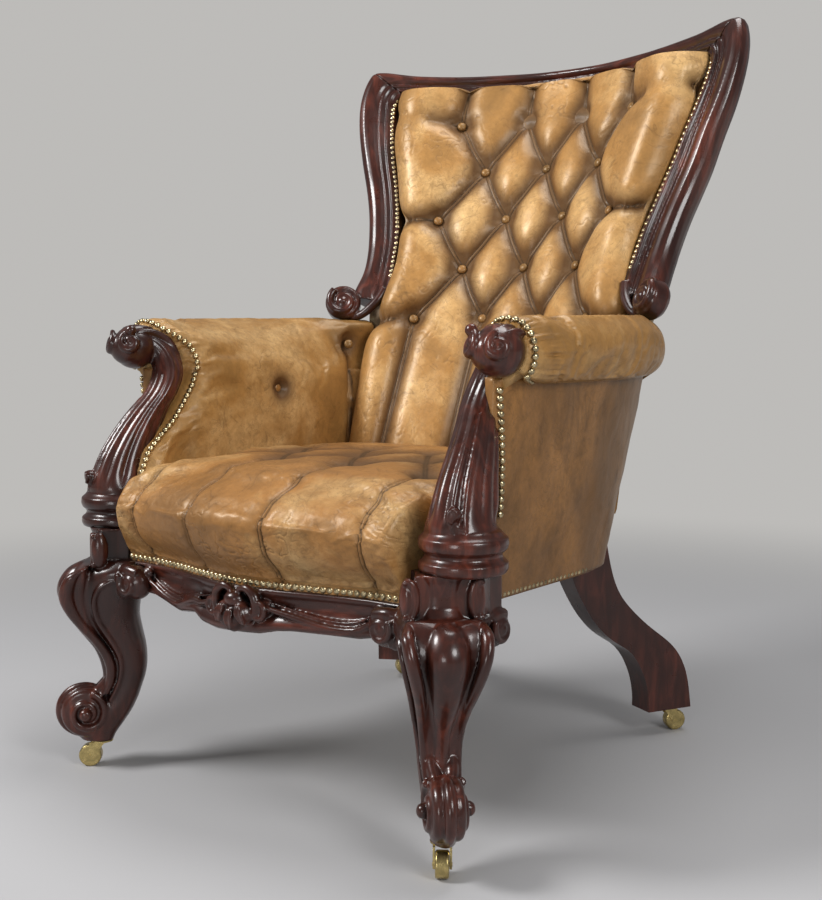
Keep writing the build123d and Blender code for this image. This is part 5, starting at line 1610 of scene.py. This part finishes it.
def pair(name):
    return [name + "_left", name + "_right"]


def carved_piece(scene, form, name, paint, rounds=3):
    """Carving in its finish, with its parts under one skin."""
    made = form.piece(name, finishes(scene)[paint])
    return carved(made, scene.armchair_sizes.carving / MM, rounds)


def both_sides(made, nodes):
    """Finishes a left piece and makes its right twin."""
    other = mirror_twin(made, made.name.replace("left", "right"))
    finished(made, [node + "_left" for node in nodes])
    finished(other, [node + "_right" for node in nodes])
    return made, other


class ARMCHAIR_OT_legs(bpy.types.Operator):
    """Make the two carved front legs"""
    bl_idname = "armchair.legs"
    bl_label = "Front legs"

    def execute(self, context):
        scene = context.scene
        form = front_leg_form(scene.armchair_sizes.bead / MM)
        made = carved_piece(scene, form, "carved_leg_left", "Mahogany")
        both_sides(made, ["front_leg"])
        return {"FINISHED"}


class ARMCHAIR_OT_supports(bpy.types.Operator):
    """Make the two scrolled arm supports"""
    bl_idname = "armchair.supports"
    bl_label = "Arm supports"

    def execute(self, context):
        scene = context.scene
        form = arm_support_form(scene.armchair_sizes.bead / MM)
        made = carved_piece(scene, form, "carved_support_left", "Mahogany", rounds=2)
        both_sides(made, ["arm_support"])
        return {"FINISHED"}


class ARMCHAIR_OT_front_rail(bpy.types.Operator):
    """Make the carved front rail"""
    bl_idname = "armchair.front_rail"
    bl_label = "Front rail"

    def execute(self, context):
        scene = context.scene
        form = front_rail_form(scene.armchair_sizes.bead / MM)
        made = carved_piece(scene, form, "carved_front_rail", "Mahogany rail")
        finished(made, ["front_rail"])
        return {"FINISHED"}


class ARMCHAIR_OT_back_frame(bpy.types.Operator):
    """Make the moulded stiles and the crest rail"""
    bl_idname = "armchair.back_frame"
    bl_label = "Back frame"

    def execute(self, context):
        scene = context.scene
        form = back_stile_form(scene.armchair_sizes.bead / MM)
        made = carved_piece(scene, form, "moulded_stile_left", "Mahogany")
        both_sides(made, ["back_stile"])
        made = carved_piece(scene, crest_rail_form(), "moulded_crest", "Mahogany rail")
        finished(made, ["crest_rail"])
        return {"FINISHED"}


class ARMCHAIR_OT_back_leather(bpy.types.Operator):
    """Make the buttoned and pleated leather of the back"""
    bl_idname = "armchair.back_leather"
    bl_label = "Back leather"

    def execute(self, context):
        sizes = context.scene.armchair_sizes
        fine = ((360, 440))
        made = back_pad_form(*fine).piece("buttoned_back", finishes(context.scene)["Back leather"])
        places = [tuft_frame(x, z)[0] for _, x, z in back_tufts()]
        depth = sizes.tuft / MM
        cut = sizes.pleat / MM
        tufted(made, places, back_pleats(), {
            "reach": 36, "soft": 15, "strip": 2.8, "groove": 1.1, "band": cut * 1.2, "cut": cut,
            "height": depth, "dent": depth * 0.45, "mouth": 13, "darkening": 0.85})
        wrinkled(made, 34, 0.5, 11)
        finished(made, ["back_leather", "back_stuffing"])
        return {"FINISHED"}


class ARMCHAIR_OT_buttons(bpy.types.Operator):
    """Make the leather covered buttons"""
    bl_idname = "armchair.buttons"
    bl_label = "Buttons"

    def execute(self, context):
        paint = finishes(context.scene)["Button leather"]
        form = Form()
        for _, x, z in back_tufts():
            place, normal = tuft_frame(x, z)
            leather_button(form, place - normal * 3 * MM, normal)
        finished(form.piece("gathered_buttons", paint), ["back_buttons"])
        form = Form()
        for side in (1, -1):
            x, y, z = ARM_BUTTON
            leather_button(form, at(side * (x + 6), y, z), Vector((-side, 0, 0)))
            x, y, z = CORNER_BUTTON
            facing = Vector((-side * CORNER_FACING[0], *CORNER_FACING[1:])).normalized()
            leather_button(form, at(side * x, y, z), facing)
        finished(form.piece("gathered_arm_buttons", paint), ["arm_buttons"])
        return {"FINISHED"}


class ARMCHAIR_OT_arms(bpy.types.Operator):
    """Make the padded leather of the two arms"""
    bl_idname = "armchair.arms"
    bl_label = "Arm leathers"

    def execute(self, context):
        sizes = context.scene.armchair_sizes
        made = arm_form().piece("padded_arm_left", finishes(context.scene)["Arm leather"])
        x, y, z = placed(made)
        front, rear, foot = ARM_HELD
        held = (y < front) | (y > rear) | (z < foot) | ((x > WALL_HELD[0]) & (z < WALL_HELD[1]))
        for height, edge in ARM_EDGE:
            held |= (np.abs(z - height) < EDGE_HELD[0]) & (y < edge + EDGE_HELD[1])
        settled(made, held, sizes.slack / MM)
        gathered(refined(made, 1))
        fold = [at(*place) for place in CORNER_FOLD]
        tufted(made, [at(*ARM_BUTTON), fold[0]], [fold], {
            "reach": 22, "soft": 15, "strip": 1.4, "groove": 1.6, "band": 0.2, "cut": 1.4,
            "height": 4.0, "dent": 6.0, "mouth": 13, "darkening": 0.6})
        wrinkled(made, 38, 0.5, 17)
        for piece in both_sides(made, ["arm_leather", "arm_stuffing"]):
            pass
        return {"FINISHED"}


class ARMCHAIR_OT_arm_nails(bpy.types.Operator):
    """Make the domed nails along the leathers of the arms"""
    bl_idname = "armchair.arm_nails"
    bl_label = "Arm nails"

    def execute(self, context):
        made = arm_nail_form().piece("domed_nails_left", finishes(context.scene)["Nail brass"])
        both_sides(made, ["arm_nails"])
        return {"FINISHED"}


class ARMCHAIR_OT_seat(bpy.types.Operator):
    """Make the tufted seat with the pleats of its front roll"""
    bl_idname = "armchair.seat"
    bl_label = "Seat leather"

    def execute(self, context):
        sizes = context.scene.armchair_sizes
        made = seat_pad_form(96, 130).piece("tufted_seat", finishes(context.scene)["Seat leather"])
        x, y, z = placed(made)
        foot, rear, side = SEAT_HELD
        held = (z < foot) | (y > rear) | (np.abs(x) > SEAT_HALF - side)
        held |= (z < UNDER_HELD[0]) & (y > UNDER_HELD[1])
        settled(made, held, sizes.slack / MM)
        refined(made, 2)
        depth = sizes.seat_tuft / MM
        places = [seat_top(x, y) for x, y in SEAT_TUFTS]
        tufted(made, places, seat_creases(), {
            "reach": 34, "soft": 22, "strip": 2.0, "groove": 2.2, "band": 0.2, "cut": 0.9,
            "height": depth * 0.6, "dent": depth * 0.8, "mouth": 20, "darkening": 0.75})
        tufted(made, [], seat_pleats(), {
            "reach": 30, "soft": 8, "strip": 2.6, "groove": 1.0, "band": 1.8, "cut": 1.8,
            "height": depth * 0.5, "dent": 0.0, "mouth": 12, "darkening": 0.35})
        wrinkled(made, 21, 1.1, 3)
        finished(made, ["seat_leather", "seat_stuffing"])
        return {"FINISHED"}


class ARMCHAIR_OT_outside(bpy.types.Operator):
    """Make the leather covers of the outside of the arms and the back"""
    bl_idname = "armchair.outside"
    bl_label = "Outside leathers"

    def execute(self, context):
        paint = finishes(context.scene)["Outside leather"]
        made = panel_form().piece("outside_arm_cover_left", paint)
        covers = both_sides(made, ["outside_arm"])
        made = back_cover_form().piece("outside_back_cover", paint)
        finished(made, ["outside_back"])
        return {"FINISHED"}


# Finishes of the nodes that keep their modelled shape
CASTORS = [node for part in ("castor_fork", "castor_axle", "castor_wheel")
           for end in ("_front", "_rear") for node in pair(part + end)]
DRESSED = {
    "Mahogany": pair("rear_leg"),
    "Beech": ["back_rail", "corner_blocks"] + pair("side_rail") + pair("knee_bracket")
             + pair("arm_rail") + pair("back_post"),
    "Nail brass": ["front_rail_nails"] + pair("panel_nails") + pair("stile_nails"),
    "Castor brass": ["castor_plates"] + CASTORS,
    "Webbing": ["seat_webbing", "back_webbing"],
    "Hessian": ["seat_hessian", "dust_cover"],
    "Spring steel": ["seat_springs"],
    "Screw steel": ["plate_screws"],
}


class ARMCHAIR_OT_dressing(bpy.types.Operator):
    """Give the nails, castors, rear legs and hidden pieces their finishes"""
    bl_idname = "armchair.dressing"
    bl_label = "Nails, castors and rear legs"

    def execute(self, context):
        paints = finishes(context.scene)
        for paint, nodes in DRESSED.items():
            for node in nodes:
                for slot in bpy.data.objects[node].material_slots:
                    slot.material = paints[paint]
        return {"FINISHED"}


# Floor of this half width in metres
FLOOR_HALF = 14
# Lamps, as (name, place, aim, size in metres, power in watts)
LAMPS = (
    ("Key", (-1500, -1500, 2300), (0, 200, 500), 1.0, 80),
    ("Side", (2300, -500, 1500), (0, 250, 500), 0.9, 30),
    ("Top", (300, 700, 2700), (0, 250, 500), 1.3, 34),
    ("Low_front", (900, -2600, 700), (0, 100, 300), 0.8, 13),
)
# Camera: its place, its tilt and turn in degrees, its lens and its film
EYE_PLACE = (1131, -1150, 620)
EYE_TILT = 84.67
EYE_TURN = 37.3
EYE_LENS = 51.0
EYE_FILM = 36.0
# Distances from the middle at which the floor starts to run into the wall and has done so, in metres
FLOOR_NEAR = 0.9
FLOOR_FAR = 2.6
SKY = (0.85, 0.87, 0.90, 1.0)
SKY_STRENGTH = 0.22


class ARMCHAIR_OT_stage(bpy.types.Operator):
    """Set the floor, the lights and the camera"""
    bl_idname = "armchair.stage"
    bl_label = "Stage"

    def execute(self, context):
        scene = context.scene
        scene.view_settings.view_transform = "Standard"
        colours = scene.armchair_colours
        mesh = bpy.data.meshes.new("floor")
        corners = ((-1, -1), (1, -1), (1, 1), (-1, 1))
        mesh.from_pydata([(x * FLOOR_HALF, y * FLOOR_HALF, 0) for x, y in corners], [], [(0, 1, 2, 3)])
        ground = bpy.data.objects.new("floor", mesh)
        scene.collection.objects.link(ground)
        mesh.materials.append(floor_paint(colours))
        backdrop(scene, colours)
        for name, place, aim, size, power in LAMPS:
            lamp(name, at(*place), at(*aim), size, power)
        eye = bpy.data.cameras.new("Eye")
        eye.lens = EYE_LENS
        eye.sensor_width = EYE_FILM
        holder = bpy.data.objects.new("Eye", eye)
        scene.collection.objects.link(holder)
        holder.location = at(*EYE_PLACE)
        holder.rotation_euler = (radians(EYE_TILT), 0.0, radians(EYE_TURN))
        scene.camera = holder
        return {"FINISHED"}


def floor_paint(colours):
    """Pale floor that takes the shadow of the chair and runs into the wall far from it."""
    paint = Paint("Floor")
    cloud = paint.scaled(paint.noise(3.0), 0.0, 0.25)
    paint.colour(paint.mixed(cloud, colours.floor, shade(colours.floor, 0.93)))
    paint.fixed(roughness=0.7, specular_ior_level=0.25)
    far = paint.add("ShaderNodeEmission")
    far.inputs["Color"].default_value = opaque(colours.wall)
    reach = paint.add("ShaderNodeVectorMath", operation="LENGTH")
    paint.join(paint.place, reach.inputs[0])
    share = paint.add("ShaderNodeMapRange", interpolation_type="SMOOTHSTEP")
    share.inputs["From Min"].default_value = FLOOR_NEAR
    share.inputs["From Max"].default_value = FLOOR_FAR
    paint.join(reach.outputs["Value"], share.inputs["Value"])
    mix = paint.add("ShaderNodeMixShader")
    paint.join(share.outputs["Result"], mix.inputs["Fac"])
    paint.join(paint.shader.outputs[0], mix.inputs[1])
    paint.join(far.outputs[0], mix.inputs[2])
    paint.join(mix.outputs[0], paint.tree.nodes["Material Output"].inputs["Surface"])
    return paint.material


def lamp(name, place, aim, size, power):
    made = bpy.data.lights.new(name, "AREA")
    made.shape = "DISK"
    made.size = size
    made.energy = power
    holder = bpy.data.objects.new(name, made)
    bpy.context.scene.collection.objects.link(holder)
    holder.location = place
    holder.rotation_euler = (aim - place).to_track_quat("-Z", "Y").to_euler()


def backdrop(scene, colours):
    """Plain pale wall that the camera sees, and a softer light all round."""
    world = bpy.data.worlds.new("Wall")
    scene.world = world
    world.use_nodes = True
    tree = world.node_tree
    ground = tree.nodes["Background"]
    ground.inputs["Color"].default_value = SKY
    ground.inputs["Strength"].default_value = SKY_STRENGTH
    seen = tree.nodes.new("ShaderNodeBackground")
    seen.inputs["Color"].default_value = opaque(colours.wall)
    seen.inputs["Strength"].default_value = 1.0
    rays = tree.nodes.new("ShaderNodeLightPath")
    both = tree.nodes.new("ShaderNodeMath")
    both.operation = "MAXIMUM"
    tree.links.new(rays.outputs["Is Camera Ray"], both.inputs[0])
    tree.links.new(rays.outputs["Is Transmission Ray"], both.inputs[1])
    mix = tree.nodes.new("ShaderNodeMixShader")
    tree.links.new(both.outputs[0], mix.inputs["Fac"])
    tree.links.new(ground.outputs[0], mix.inputs[1])
    tree.links.new(seen.outputs[0], mix.inputs[2])
    tree.links.new(mix.outputs[0], tree.nodes["World Output"].inputs["Surface"])


PIECES = (
    ARMCHAIR_OT_legs, ARMCHAIR_OT_supports, ARMCHAIR_OT_front_rail, ARMCHAIR_OT_back_frame,
    ARMCHAIR_OT_back_leather, ARMCHAIR_OT_buttons, ARMCHAIR_OT_arms, ARMCHAIR_OT_arm_nails,
    ARMCHAIR_OT_seat, ARMCHAIR_OT_outside, ARMCHAIR_OT_dressing, ARMCHAIR_OT_stage,
)


class ARMCHAIR_PT_panel(bpy.types.Panel):
    """Sizes, colours and pieces of the library armchair"""
    bl_idname = "ARMCHAIR_PT_panel"
    bl_label = "Library armchair"
    bl_space_type = "VIEW_3D"
    bl_region_type = "UI"
    bl_category = "Armchair"

    def draw(self, context):
        for group in (context.scene.armchair_sizes, context.scene.armchair_colours):
            box = self.layout.box()
            for name in group.__annotations__:
                box.prop(group, name)
        for piece in PIECES:
            self.layout.operator(piece.bl_idname)


CLASSES = (ArmchairSizes, ArmchairColours) + PIECES + (ARMCHAIR_PT_panel,)


def register():
    for kind in CLASSES:
        bpy.utils.register_class(kind)
    bpy.types.Scene.armchair_sizes = PointerProperty(type=ArmchairSizes)
    bpy.types.Scene.armchair_colours = PointerProperty(type=ArmchairColours)


def unregister():
    del bpy.types.Scene.armchair_colours
    del bpy.types.Scene.armchair_sizes
    for kind in reversed(CLASSES):
        bpy.utils.unregister_class(kind)


def main():
    register()
    for piece in PIECES:
        getattr(bpy.ops.armchair, piece.bl_idname.split(".")[1])()


if __name__ == "__main__":
    main()
